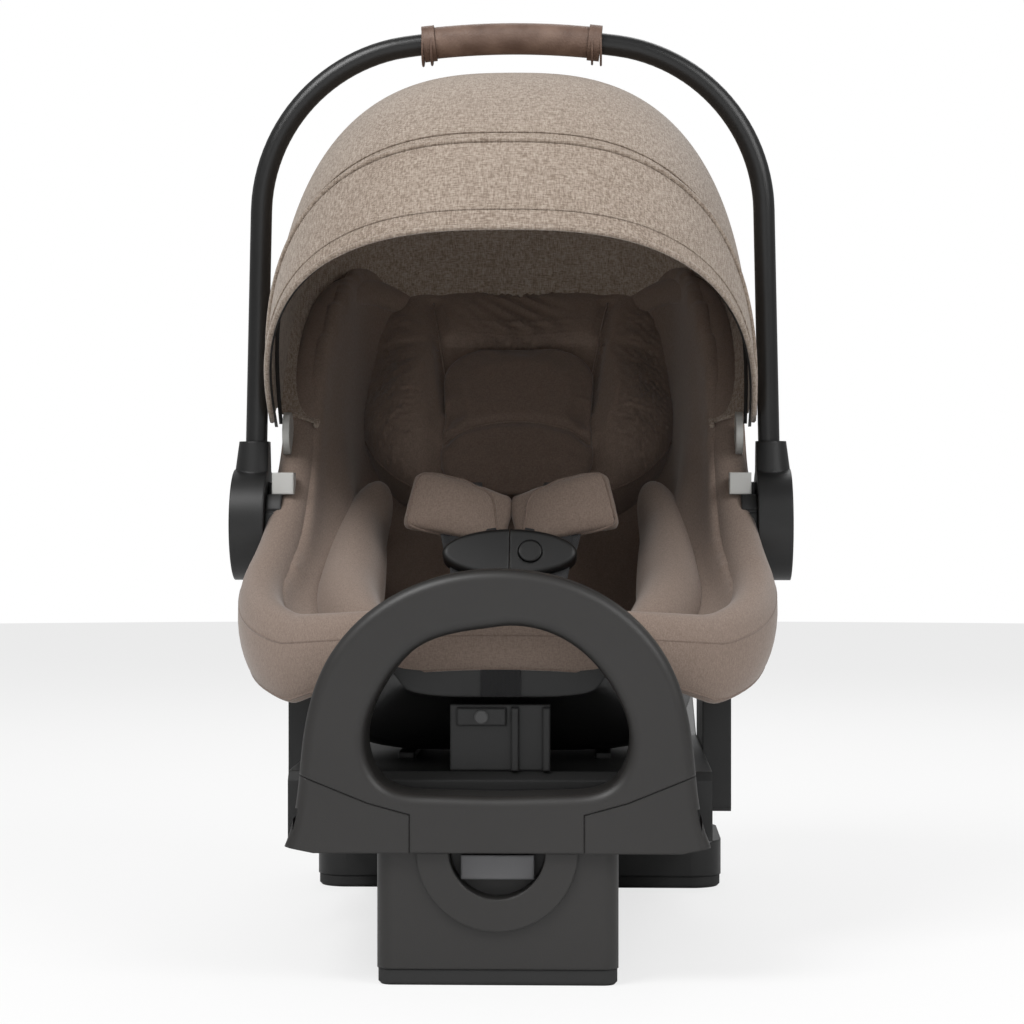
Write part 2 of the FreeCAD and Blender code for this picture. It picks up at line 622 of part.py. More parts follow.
def canopy_skin(angles, outer, thick, grow):
    """Canopy panel lofted through its arches."""
    return Part.makeLoft([arch_section(a, outer, thick, canopy_reach(a) + grow, canopy_square(a))
                          for a in angles], True, False)


BOW, BRIM, REAR = size("bow_angle"), size("brim_angle"), size("rear_angle")
main_angles = [REAR, REAR * 0.62, REAR * 0.25, BOW * 0.33, BOW * 0.7, BOW]
feature("canopy_main", canopy_skin(main_angles, size("canopy_half"), size("canopy_skin"), 0))
visor_half = size("canopy_half") + size("visor_gap") + 1.6
feature("canopy_visor", canopy_skin([BOW + 0.6, (BOW + BRIM) / 2, BRIM], visor_half, 1.6,
                                    size("visor_gap") + 1.6))


def bow(angle, half, reach, thick, wide):
    """Flat bow: a strip of the arch, wide along the canopy and thin across it."""
    sweep = math.degrees(wide / reach) / 2
    skins = [arch_section(angle + s, half, thick, reach, 2.7, size("mount_radius") * 0.6)
             for s in (-sweep, sweep)]
    return Part.makeLoft(skins, True, True)


bow_half = size("canopy_half") - size("canopy_skin") - size("bow_gap")
bow_reach = size("canopy_reach") - size("canopy_skin") - size("bow_gap")
feature("canopy_bow", bow(BOW - 2, bow_half, bow_reach, size("bow_section") * 0.6, 10))
feature("visor_bow", bow(BRIM - 1.6, visor_half - 2.4, canopy_reach(BRIM) - 0.8,
                         size("bow_section") * 0.5, 9))
mount_face = "sizes.canopy_half - sizes.canopy_skin - sizes.bow_gap - sizes.mount_depth - 3.4"
mount = named_cylinder("mount_disc", "sizes.mount_radius", "sizes.mount_depth")
along_x(mount, mount_face, "sizes.canopy_y", "sizes.canopy_z")
tab = named_box("mount_tab", "sizes.mount_depth - 2", "18", "sizes.mount_radius * 2.4",
                "sizes.shell_waist + 0.6", "sizes.canopy_y + 4",
                "sizes.canopy_z - sizes.mount_radius * 2.4")
both_sides(boolean("Fuse", "mount_body", mount, tab), "canopy_mount")


# ---------------------------------------------------------------- carrier latch parts


def on_back(y, out):
    """Placement of a plate on the shell's back at y, its back side towards the shell."""
    slope = math.degrees(math.atan2(6, floor_height(y + 3) - floor_height(y - 3)))
    tilt = math.radians(slope)
    normal = Vector(0, math.cos(tilt), -math.sin(tilt))
    return Placement(Vector(0, y, floor_height(y)) + normal * out, Rotation(Vector(1, 0, 0), -slope))


guide = Part.makeBox(size("lever_width") + 20, 6, 60, Vector(-size("lever_width") / 2 - 10, 0, -30))
obj = feature("lever_guide", guide.makeFillet(2.5, guide.Edges))
obj.Placement = on_back(240, 0.8)
lever = Part.makeBox(size("lever_width"), 9, 30, Vector(-size("lever_width") / 2, 6.4, -22))
obj = feature("release_lever", lever.makeFillet(3, lever.Edges))
obj.Placement = on_back(240, 0.8)
yoke = Part.makeBox(60, 3, 26, Vector(-30, 0, -13)).cut(
    Part.makeBox(40, 5, 5, Vector(-20, -1, 3)))
obj = feature("harness_yoke", yoke)
obj.Placement = on_back(190, 2)
runner_y = (-168, 8)
runners = []
for sign in (-1, 1):
    block = Part.makeBox(12, runner_y[1] - runner_y[0], 4.6,
                         Vector(sign * 72 - 6, runner_y[0], FLOOR - 4.9))
    runners.append(block.makeFillet(2, [e for e in block.Edges if e.BoundBox.XLength < 1
                                        and e.BoundBox.YLength < 1]))
feature("carrier_runners", Part.makeCompound(runners))

# ---------------------------------------------------------------- vehicle base
DECK, BASE_HALF = size("base_deck"), size("base_half")
FRONT, REAR_Y = size("base_front"), size("base_rear")
rear_front = REAR_Y - size("rear_length")


def side_profile(points, half):
    """Solid of a side outline, given as (y, z), spread to both sides of the middle plane."""
    corners = [Vector(-half, y, z) for y, z in points]
    face = Part.Face(Part.makePolygon(corners + corners[:1]))
    return face.extrude(Vector(2 * half, 0, 0))


profile = [(FRONT, 93), (FRONT, DECK - 6), (FRONT + 6, DECK), (60, DECK), (150, DECK + 26),
           (REAR_Y - 8, DECK + 26), (REAR_Y, DECK + 18), (REAR_Y, size("rear_height") + 0.5),
           (rear_front - 40, size("rear_height") + 0.5)]
outer = side_profile(profile, BASE_HALF)
upright = [e for e in outer.Edges if e.BoundBox.XLength < 1 and e.BoundBox.ZLength > 20]
wall = size("base_wall")
inner_profile = [(FRONT + wall, 80), (FRONT + wall, DECK - wall), (58, DECK - wall),
                 (149, DECK + 26 - wall), (REAR_Y - wall, DECK + 26 - wall),
                 (REAR_Y - wall, size("rear_height") + wall),
                 (rear_front - 40 + wall, size("rear_height") + wall)]
base_shape = outer.cut(side_profile(inner_profile, BASE_HALF - wall))
# the rear deck is cut back to the carrier's underside
base_shape = base_shape.cut(tub_solid(-2, -2, 60, -2))
belt_path = Part.makeBox(400, 50, 26, Vector(-200, -130, DECK - 34))
base_shape = base_shape.cut(belt_path)
foot_top = size("foot_height") + size("foot_travel") + 2
foot_back = size("foot_front") + size("foot_depth")
well_half = size("foot_half") + size("running_gap")
well = Part.makeBox(2 * well_half, foot_back + size("running_gap") - FRONT + 5, foot_top - 60,
                    Vector(-well_half, FRONT - 5, 60))
arm_back = size("arch_front") + size("arch_depth") + 0.7
arms = [Part.makeBox(22, FRONT + 6 - arm_back, 34, Vector(sign * 115 - 11, arm_back + 0.2, 98))
        for sign in (-1, 1)]
base_shape = base_shape.cut(well).fuse(arms[0]).fuse(arms[1]).removeSplitter()
feature("base_body", base_shape)

for name, sign in (("left", -1), ("right", 1)):
    length, depth = size("tower_length"), size("tower_depth")
    tower = doc.addObject("PartDesign::Body", "tower_" + name)
    sketch = add_sketch(tower, "tower_outline_" + name, "YZ_Plane",
                        "%d * (sizes.base_half + sizes.running_gap + sizes.tower_depth / 2)" % sign)
    add_rectangle(sketch, "-sizes.tower_length / 2", "sizes.rear_height + 52",
                  "sizes.tower_length / 2", "sizes.tower_height")
    add_pad(tower, sketch, "sizes.tower_depth", both=True)
    hollow = add_sketch(tower, "tower_hollow_" + name, "YZ_Plane",
                        "%d * (sizes.base_half + sizes.running_gap + sizes.tower_depth / 2)" % sign)
    add_rectangle(hollow, "-sizes.tower_length / 2 + 8", "sizes.tower_height - 26",
                  "sizes.tower_length / 2 - 8", "sizes.tower_height + 5")
    add_pocket(tower, hollow, "sizes.tower_depth - 8", both=True)
    dress(tower, "Chamfer", lambda e: e.BoundBox.YLength < 0.1 and e.BoundBox.ZLength < 0.1
          and e.BoundBox.ZMin < size("tower_height") - 40, "3")
    keep(tower, "side_tower_" + name)

# rear floor section and its rubber band
rear = doc.addObject("PartDesign::Body", "rear_floor")
sketch = add_sketch(rear, "rear_outline", "XY_Plane", "sizes.band_height + 0.2")
add_rectangle(sketch, "-sizes.rear_half", "sizes.base_rear - sizes.rear_length",
              "sizes.rear_half", "sizes.base_rear")
add_pad(rear, sketch, "sizes.rear_height - sizes.band_height - 0.2")
dress(rear, "Fillet", lambda e: e.BoundBox.ZLength > 5 and e.BoundBox.XLength < 0.1, "26")
keep(rear, "base_tray")
band = doc.addObject("PartDesign::Body", "rear_band")
sketch = add_sketch(band, "band_outline", "XY_Plane")
add_rectangle(sketch, "-sizes.rear_half + 1", "sizes.base_rear - sizes.rear_length + 1",
              "sizes.rear_half - 1", "sizes.base_rear - 1")
add_pad(band, sketch, "sizes.band_height")
dress(band, "Fillet", lambda e: e.BoundBox.ZLength > 5 and e.BoundBox.XLength < 0.1, "25")
dress(band, "Chamfer", lambda e: e.BoundBox.ZMax < 0.1, "2")
keep(band, "rear_foot_band")

# ---------------------------------------------------------------- anti-rebound arch
ARCH_Y, ARCH_DEPTH = size("arch_front"), size("arch_depth")
TOP, HALF_ARCH, LOW = size("arch_top"), size("arch_half"), size("arch_foot")
rise = TOP - LOW


def front_face(right_points):
    """Face in the front plane from points of its right half, top first, bottom last."""
    right = [Vector(x, ARCH_Y, z) for x, z in right_points]
    left = [Vector(-p.x, p.y, p.z) for p in reversed(right[1:])]
    return left + right


arch_right = [(0, TOP), (HALF_ARCH * 0.42, TOP - rise * 0.065), (HALF_ARCH * 0.69, TOP - rise * 0.21),
              (HALF_ARCH * 0.82, TOP - rise * 0.35), (HALF_ARCH * 0.92, TOP - rise * 0.65),
              (HALF_ARCH * 0.98, TOP - rise * 0.94), (HALF_ARCH, LOW + 4)]
outline = front_face(arch_right)
curve = Part.BSplineCurve()
curve.interpolate(Points=outline)
bottom = [Part.LineSegment(outline[-1], Vector(HALF_ARCH * 0.86, ARCH_Y, LOW)),
          Part.LineSegment(Vector(HALF_ARCH * 0.86, ARCH_Y, LOW), Vector(-HALF_ARCH * 0.86, ARCH_Y, LOW)),
          Part.LineSegment(Vector(-HALF_ARCH * 0.86, ARCH_Y, LOW), outline[0])]
outside = Part.Face(Part.Wire([curve.toShape()] + [b.toShape() for b in bottom]))
WT, WB, WH = size("window_top"), size("window_bottom"), size("window_half")
mid = (WT + WB) / 2
hole = [(0, WT), (WH * 0.6, WT - 14), (WH * 0.9, WT - 46), (WH, mid - 20), (WH * 0.86, WB + 8),
        (WH * 0.5, WB + 1), (0, WB), (-WH * 0.5, WB + 1), (-WH * 0.86, WB + 8), (-WH, mid - 20),
        (-WH * 0.9, WT - 46), (-WH * 0.6, WT - 14)]
window = Part.Face(spline_wire([Vector(x, ARCH_Y, z) for x, z in hole], True))
plate = outside.cut(window).extrude(Vector(0, ARCH_DEPTH, 0))
front_lines = [e for e in plate.Edges if e.BoundBox.YMax < ARCH_Y + 0.01
               and e.Curve.TypeId == "Part::GeomBSplineCurve"]
plate = plate.makeFillet(size("arch_round"), front_lines)
apron = size("apron_half")
corner_cut = []
for sign in (-1, 1):
    pts = [(apron, LOW - 5), (apron, WB - 12), (WH * 0.98, WB - 4), (HALF_ARCH + 5, WB + 21),
           (HALF_ARCH + 5, LOW - 5)]
    face = Part.Face(Part.makePolygon([Vector(sign * x, ARCH_Y - 1, z) for x, z in pts + pts[:1]]))
    corner_cut.append(face.extrude(Vector(0, ARCH_DEPTH + 2, 0)))
# room behind the apron for the foot to slide up
room = Part.makeBox(4 * apron, ARCH_DEPTH, WB - 8 - LOW + 5,
                    Vector(-2 * apron, ARCH_Y + size("fascia_thick"), LOW - 5))
arch = plate.cut(corner_cut[0]).cut(corner_cut[1]).cut(room)
feature("anti_rebound_arch", arch)
for name, cutter in (("left", corner_cut[0]), ("right", corner_cut[1])):
    sign = -1 if name == "left" else 1
    skin = plate.common(cutter)
    skin.translate(Vector(0, 0.6, 0))
    inside = skin.copy()
    inside = inside.common(Part.makeBox(400, ARCH_DEPTH, 200,
                                        Vector(-200, ARCH_Y + size("fascia_thick"), LOW - 50)))
    core = Part.makeBox(HALF_ARCH - apron - 1, ARCH_DEPTH + 10, 60,
                        Vector(apron - 5 if sign > 0 else -HALF_ARCH + 6, ARCH_Y + size("fascia_thick"),
                               LOW - 30))
    piece = skin.cut(core)
    gap = Part.makeBox(0.5, 100, 100, Vector(sign * apron - 0.25, ARCH_Y - 5, LOW - 10))
    piece = piece.cut(gap)
    big = max(piece.Solids, key=lambda s: s.Volume)
    big.translate(Vector(0, 0, -0.4))
    feature("fascia_" + name, big)

# ---------------------------------------------------------------- latch housing behind the window
latch_parts = [Part.makeBox(70, 10, 46, Vector(-35, -262, DECK + 0.3))]
latch_parts.append(Part.makeBox(34, 5, 12, Vector(-30, -267, DECK + 32)))
latch_parts += [Part.makeBox(5, 5, 44, Vector(x, -267, DECK + 0.3)) for x in (8, 30)]
latch = latch_parts[0]
for extra in latch_parts[1:]:
    latch = latch.fuse(extra)
feature("latch_housing", latch.removeSplitter())
feature("level_lens", Part.makeCylinder(5, 2, Vector(-13, -267.3, DECK + 38), Vector(0, -1, 0)))

# ---------------------------------------------------------------- recline foot
leg = doc.addObject("PartDesign::Body", "foot")
sketch = add_sketch(leg, "foot_outline", "XY_Plane", "sizes.sole_height + 0.2")
add_rectangle(sketch, "-sizes.foot_half", "sizes.foot_front", "sizes.foot_half",
              "sizes.foot_front + sizes.foot_depth")
add_pad(leg, sketch, "sizes.foot_height - sizes.sole_height - 0.2")
dress(leg, "Fillet", lambda e: e.BoundBox.ZLength > 5 and e.BoundBox.XLength < 0.1, "11")
hollow = add_sketch(leg, "foot_hollow", "XY_Plane", "sizes.sole_height + 0.2")
add_rectangle(hollow, "-sizes.foot_half + 13", "sizes.foot_front + 26", "sizes.foot_half - 13",
              "sizes.foot_front + sizes.foot_depth - 6")
add_pocket(leg, hollow, "sizes.foot_height - 14", away=True)
recess = add_sketch(leg, "grip_recess", "XZ_Plane", "-sizes.foot_front")
add_circle(recess, "sizes.recess_radius", "0", "sizes.foot_height")
add_pocket(leg, recess, "18", away=False)
keep(leg, "recline_foot")
collar_out = Part.makeCylinder(size("collar_radius"), 3.2, Vector(0, 0, 0), Vector(0, -1, 0))
collar_in = Part.makeCylinder(size("recess_radius"), 9, Vector(0, 3, 0), Vector(0, -1, 0))
collar = collar_out.cut(collar_in).common(
    Part.makeBox(300, 30, 100, Vector(-150, -15, -100 - (size("foot_height") - LOW) - 0.0)))
collar = collar.common(Part.makeBox(300, 30, 200, Vector(-150, -15, -200)))
obj = feature("foot_collar", collar)
obj.Placement = Placement(Vector(0, size("foot_front") - 0.2, size("foot_height")), Rotation())
sole = doc.addObject("PartDesign::Body", "sole")
sketch = add_sketch(sole, "sole_outline", "XY_Plane")
add_rectangle(sketch, "-sizes.foot_half + 0.8", "sizes.foot_front + 0.8", "sizes.foot_half - 0.8",
              "sizes.foot_front + sizes.foot_depth - 0.8")
add_pad(sole, sketch, "sizes.sole_height")
dress(sole, "Fillet", lambda e: e.BoundBox.ZLength > 5 and e.BoundBox.XLength < 0.1, "10")
dress(sole, "Chamfer", lambda e: e.BoundBox.ZMax < 0.1, "2")
keep(sole, "foot_sole")
release = named_box("release_box", "50", "6", "16.4", "-25", "sizes.foot_front + 6",
                    "sizes.foot_height - 20.4")
keep(release, "recline_release")

# ---------------------------------------------------------------- write the parts
doc.recompute()
for obj in doc.Objects:
    if "Invalid" in obj.State or "Error" in obj.State:
        raise ValueError("%s is in state %s" % (obj.Name, obj.State))
os.makedirs("parts", exist_ok=True)
for node in NODES:
    if node.Shape.isNull() or not node.Shape.isValid():
        raise ValueError("%s has no valid shape" % node.Label)
for node in NODES:
    node.Shape.exportStep(os.path.join("parts", node.Label + ".step"))
print("%d parts" % len(NODES))
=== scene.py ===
"""Looks of an infant car seat on its vehicle base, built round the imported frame.

Metres, +Z up, the child's feet and the anti-rebound arch towards -Y. The moulded parts are the
frame's own nodes with better finishes. The liner, pillow, pads, canopy and harness are soft
pieces made here, each in the space that its plain solid holds.
"""

import json
import logging
import math
from dataclasses import dataclass, field
from enum import Enum
from typing import Callable, Iterable, List, Optional, Sequence, Tuple

import bmesh
import bpy
from mathutils import Matrix, Vector

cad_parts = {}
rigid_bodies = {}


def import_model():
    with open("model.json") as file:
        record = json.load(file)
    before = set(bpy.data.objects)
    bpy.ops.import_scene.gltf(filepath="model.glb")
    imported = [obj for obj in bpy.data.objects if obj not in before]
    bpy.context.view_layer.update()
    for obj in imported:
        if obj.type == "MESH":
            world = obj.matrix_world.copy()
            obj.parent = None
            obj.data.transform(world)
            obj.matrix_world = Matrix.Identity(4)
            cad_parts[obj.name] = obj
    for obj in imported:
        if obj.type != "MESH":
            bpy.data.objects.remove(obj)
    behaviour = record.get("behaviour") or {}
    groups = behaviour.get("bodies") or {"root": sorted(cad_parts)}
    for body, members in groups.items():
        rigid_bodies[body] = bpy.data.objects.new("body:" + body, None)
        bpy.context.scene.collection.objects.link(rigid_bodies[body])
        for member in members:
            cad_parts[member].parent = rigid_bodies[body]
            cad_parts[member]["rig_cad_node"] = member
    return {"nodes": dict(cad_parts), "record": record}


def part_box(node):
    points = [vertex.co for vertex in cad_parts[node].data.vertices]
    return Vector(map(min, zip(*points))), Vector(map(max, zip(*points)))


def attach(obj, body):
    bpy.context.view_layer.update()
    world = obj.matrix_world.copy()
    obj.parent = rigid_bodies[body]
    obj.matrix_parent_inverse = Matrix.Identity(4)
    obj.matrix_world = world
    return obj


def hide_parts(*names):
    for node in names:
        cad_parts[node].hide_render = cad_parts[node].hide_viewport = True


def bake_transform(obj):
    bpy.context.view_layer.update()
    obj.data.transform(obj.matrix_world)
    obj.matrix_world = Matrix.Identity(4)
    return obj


LOG = logging.getLogger("infant_car_seat")
Point = Tuple[float, float, float]
Colour = Tuple[float, float, float]


class Body(str, Enum):
    """Bodies of the frame that pieces ride on."""

    BASE = "base"
    CARRIER = "carrier"
    HANDLE = "handle"
    CANOPY = "canopy_frame"
    VISOR = "visor"


class Slot(str, Enum):
    """Material slots of the record."""

    CANOPY = "canopy_fabric"
    SEAT = "seat_fabric"
    GRIP = "grip_leather"
    WEBBING = "webbing"
    BLACK = "black_plastic"


# ---------------------------------------------------------------- finishes
class Graph:
    """Small helper that lays out a material's nodes."""

    def __init__(self, name: str) -> None:
        """Start a material with one principled shader.

        Args:
            name: The material's name.
        """
        self.material = bpy.data.materials.new(name)
        self.material.use_nodes = True
        self.nodes = self.material.node_tree.nodes
        self.links = self.material.node_tree.links
        self.shader = self.nodes["Principled BSDF"]
        self.coords = self.nodes.new("ShaderNodeTexCoord").outputs["Object"]

    def link(self, source: bpy.types.NodeSocket, target: bpy.types.NodeSocket) -> None:
        """Join two sockets."""
        self.links.new(source, target)

    def mapped(self, scale: Point, turn: Point = (0.0, 0.0, 0.0)) -> bpy.types.NodeSocket:
        """Object coordinates with a scale and a turn."""
        node = self.nodes.new("ShaderNodeMapping")
        node.inputs["Scale"].default_value = scale
        node.inputs["Rotation"].default_value = turn
        self.link(self.coords, node.inputs["Vector"])
        return node.outputs["Vector"]

    def noise(self, scale: float, detail: float = 2.0,
              vector: Optional[bpy.types.NodeSocket] = None) -> bpy.types.NodeSocket:
        """Noise texture's factor."""
        node = self.nodes.new("ShaderNodeTexNoise")
        node.inputs["Scale"].default_value = scale
        node.inputs["Detail"].default_value = detail
        self.link(vector or self.coords, node.inputs["Vector"])
        return node.outputs["Fac"]

    def wave(self, scale: float, axis: str, distortion: float = 0.0) -> bpy.types.NodeSocket:
        """Bands along one axis."""
        node = self.nodes.new("ShaderNodeTexWave")
        node.bands_direction = axis
        node.inputs["Scale"].default_value = scale
        node.inputs["Distortion"].default_value = distortion
        self.link(self.coords, node.inputs["Vector"])
        return node.outputs["Fac"]

    def cells(self, scale: float) -> bpy.types.NodeSocket:
        """Voronoi distance, for grain."""
        node = self.nodes.new("ShaderNodeTexVoronoi")
        node.inputs["Scale"].default_value = scale
        self.link(self.coords, node.inputs["Vector"])
        return node.outputs["Distance"]

    def combine(self, a: bpy.types.NodeSocket, b: bpy.types.NodeSocket, how: str
                ) -> bpy.types.NodeSocket:
        """Math node on two sockets."""
        node = self.nodes.new("ShaderNodeMath")
        node.operation = how
        self.link(a, node.inputs[0])
        self.link(b, node.inputs[1])
        return node.outputs[0]

    def ramp(self, value: bpy.types.NodeSocket, stops: Sequence[Tuple[float, Colour]]
             ) -> bpy.types.NodeSocket:
        """Colour ramp over a factor."""
        node = self.nodes.new("ShaderNodeValToRGB")
        elements = node.color_ramp.elements
        while len(elements) < len(stops):
            elements.new(0.5)
        for element, (place, colour) in zip(elements, stops):
            element.position = place
            element.color = (*colour, 1.0)
        self.link(value, node.inputs["Fac"])
        return node.outputs["Color"]

    def grey(self, value: bpy.types.NodeSocket, low: float, high: float) -> bpy.types.NodeSocket:
        """Factor mapped to a range."""
        node = self.nodes.new("ShaderNodeMapRange")
        node.inputs["To Min"].default_value = low
        node.inputs["To Max"].default_value = high
        self.link(value, node.inputs["Value"])
        return node.outputs["Result"]

    def bump(self, height: bpy.types.NodeSocket, distance: float, strength: float = 1.0,
             soften: float = 0.0) -> None:
        """Bump into the shader's normal, over edges softened by a radius."""
        node = self.nodes.new("ShaderNodeBump")
        node.inputs["Distance"].default_value = distance
        node.inputs["Strength"].default_value = strength
        self.link(height, node.inputs["Height"])
        if soften > 0:
            bevel = self.nodes.new("ShaderNodeBevel")
            bevel.samples = 4
            bevel.inputs["Radius"].default_value = soften
            self.link(bevel.outputs["Normal"], node.inputs["Normal"])
        self.link(node.outputs["Normal"], self.shader.inputs["Normal"])

    def constant(self, **values: float) -> None:
        """Plain numbers on the shader's own sockets, named with underscores for spaces."""
        for name, value in values.items():
            self.shader.inputs[name.replace("_", " ")].default_value = value


@dataclass(frozen=True)
class Cloth:
    """Woven or knitted cloth: two thread tones, a fine weave and a soft sheen."""

    name: str
    dark: Colour
    light: Colour
    thread: float = 900.0
    fleck: float = 260.0
    relief: float = 0.0004
    sheen: float = 0.25

    def build(self) -> bpy.types.Material:
        """Make the material."""
        g = Graph(self.name)
        across, along = g.wave(self.thread, "X", 1.5), g.wave(self.thread, "Z", 1.5)
        weave = g.combine(across, along, "ADD")
        warp = g.grey(g.noise(self.fleck, 1.0, g.mapped((1.0, 0.25, 0.25))), 0.0, 0.5)
        weft = g.grey(g.noise(self.fleck, 1.0, g.mapped((0.25, 1.0, 1.0))), 0.0, 0.5)
        fleck = g.combine(warp, weft, "ADD")
        cloud = g.noise(7.0, 2.0)
        tone = g.combine(g.grey(fleck, 0.0, 0.85), g.grey(cloud, 0.0, 0.15), "ADD")
        g.link(g.ramp(tone, ((0.38, self.dark), (0.62, self.light))), g.shader.inputs["Base Color"])
        height = g.combine(g.grey(weave, 0.0, 0.6), g.grey(fleck, 0.0, 0.8), "ADD")
        g.bump(height, self.relief, 0.6)
        g.constant(Roughness=0.88, Sheen_Weight=self.sheen, Sheen_Roughness=0.45,
                   Specular_IOR_Level=0.18)
        return g.material


@dataclass(frozen=True)
class Moulding:
    """Moulded plastic or paint: one colour, a fine spark-eroded grain and slight wear."""

    name: str
    colour: Colour
    roughness: float = 0.5
    grain: float = 1500.0
    relief: float = 0.00012
    metallic: float = 0.0
    edge: float = 0.0022

    def build(self) -> bpy.types.Material:
        """Make the material."""
        g = Graph(self.name)
        cloud = g.noise(9.0, 3.0)
        darker = tuple(c * 0.88 for c in self.colour)
        lighter = tuple(c * 1.12 for c in self.colour)
        g.link(g.ramp(cloud, ((0.3, darker), (0.7, lighter))), g.shader.inputs["Base Color"])
        g.link(g.grey(cloud, self.roughness - 0.06, self.roughness + 0.08),
               g.shader.inputs["Roughness"])
        g.bump(g.noise(self.grain, 1.0), self.relief, 0.5, self.edge)
        g.constant(Metallic=self.metallic)
        return g.material


@dataclass(frozen=True)
class Hide:
    """Leatherette with a pebbled grain."""

    name: str
    dark: Colour
    light: Colour

    def build(self) -> bpy.types.Material:
        """Make the material."""
        g = Graph(self.name)
        pebble = g.cells(620.0)
        cloud = g.noise(60.0, 4.0)
        g.link(g.ramp(cloud, ((0.3, self.dark), (0.7, self.light))), g.shader.inputs["Base Color"])
        g.link(g.grey(pebble, 0.42, 0.62), g.shader.inputs["Roughness"])
        g.bump(g.combine(pebble, g.grey(cloud, 0.0, 0.5), "ADD"), 0.0004, 0.55)
        return g.material


@dataclass(frozen=True)
class Webbing:
    """Strap webbing with a herringbone rib."""

    name: str
    colour: Colour

    def build(self) -> bpy.types.Material:
        """Make the material."""
        g = Graph(self.name)
        rib = g.combine(g.wave(330.0, "X"), g.wave(520.0, "DIAGONAL"), "ADD")
        light = tuple(c * 2.6 + 0.01 for c in self.colour)
        g.link(g.ramp(g.grey(rib, 0.0, 0.7), ((0.2, self.colour), (0.9, light))),
               g.shader.inputs["Base Color"])
        g.bump(rib, 0.0005, 0.7)
        g.constant(Roughness=0.75, Sheen_Weight=0.15)
        return g.material


class Finishes:
    """All finishes, by the slot that they dress."""

    def __init__(self) -> None:
        """Build each finish once."""
        made = {
            "canopy_fabric": Cloth("canopy_heather", (0.215, 0.165, 0.128), (0.43, 0.36, 0.30),
                                   190.0, 900.0, 0.0005, 0.2),
            "seat_fabric": Cloth("seat_knit", (0.205, 0.152, 0.122), (0.275, 0.212, 0.175),
                                 420.0, 1600.0, 0.0002, 0.3),
            "pillow_fabric": Cloth("pillow_knit", (0.170, 0.124, 0.099), (0.228, 0.172, 0.142),
                                   420.0, 1600.0, 0.0002, 0.32),
            "grip_leather": Hide("grip_leatherette", (0.105, 0.060, 0.042), (0.19, 0.122, 0.09)),
            "webbing": Webbing("strap_webbing", (0.010, 0.010, 0.011)),
            "charcoal_plastic": Moulding("arch_charcoal", (0.0185, 0.0172, 0.0162), 0.44),
            "black_plastic": Moulding("shell_black", (0.007, 0.007, 0.007), 0.42),
            "rubber_band": Moulding("foot_rubber", (0.016, 0.016, 0.016), 0.7),
            "grey_plastic": Moulding("lever_grey", (0.13, 0.13, 0.135), 0.45),
            "light_grey_plastic": Moulding("clip_grey", (0.52, 0.52, 0.50), 0.45),
            "handle_metal": Moulding("handle_paint", (0.0075, 0.0075, 0.0075), 0.30, 2400.0),
            "steel": Moulding("plated_steel", (0.5, 0.5, 0.5), 0.3, 900.0, 0.00005, 1.0),
            "red_plastic": Moulding("buckle_red", (0.42, 0.02, 0.018), 0.35),
            "lens": Moulding("lens_clear", (0.05, 0.05, 0.05), 0.12),
            "stitch": Moulding("stitch_thread", (0.10, 0.07, 0.055), 0.8),
        }
        self.by_slot = {slot: finish.build() for slot, finish in made.items()}

    def dress(self, obj: bpy.types.Object, slot: str) -> None:
        """Give an object one finish.

        Args:
            obj: The object.
            slot: The finish's key.
        """
        obj.data.materials.clear()
        obj.data.materials.append(self.by_slot[slot])


# ---------------------------------------------------------------- mesh helpers
def deselect_all() -> None:
    """Clear the selection."""
    if bpy.context.object and bpy.context.object.mode != "OBJECT":
        bpy.ops.object.mode_set(mode="OBJECT")
    bpy.ops.object.select_all(action="DESELECT")


def activate(obj: bpy.types.Object) -> None:
    """Select one object alone and make it active."""
    deselect_all()
    obj.select_set(True)
    bpy.context.view_layer.objects.active = obj


def apply_modifier(obj: bpy.types.Object, kind: str, **settings: object) -> None:
    """Add a modifier, set it and apply it.

    Args:
        obj: The object that takes it.
        kind: The modifier's type.
        settings: Its properties.
    """
    activate(obj)
    modifier = obj.modifiers.new(kind.lower(), kind)
    for key, value in settings.items():
        setattr(modifier, key, value)
    bpy.ops.object.modifier_apply(modifier=modifier.name)


def surface(name: str, shape: Callable[[float, float], Vector], across: int, along: int,
            closed: bool = False) -> bpy.types.Object:
    """Grid whose points a formula places.

    Args:
        name: The piece's name.
        shape: Point for two shares from 0 to 1, across and along.
        across: Cells across.
        along: Cells along.
        closed: Whether the first and last column meet.

    Returns:
        The new object, smooth shaded.
    """
    deselect_all()
    bpy.ops.mesh.primitive_grid_add(x_subdivisions=across, y_subdivisions=along, size=1)
    obj = bpy.context.object
    obj.name = name
    for vertex in obj.data.vertices:
        vertex.co = shape(vertex.co.x + 0.5, vertex.co.y + 0.5)
    if closed:
        bpy.ops.object.mode_set(mode="EDIT")
        bpy.ops.mesh.select_all(action="SELECT")
        bpy.ops.mesh.remove_doubles(threshold=0.0001)
        bpy.ops.mesh.normals_make_consistent(inside=False)
        bpy.ops.object.mode_set(mode="OBJECT")
    bpy.ops.object.shade_smooth()
    return obj


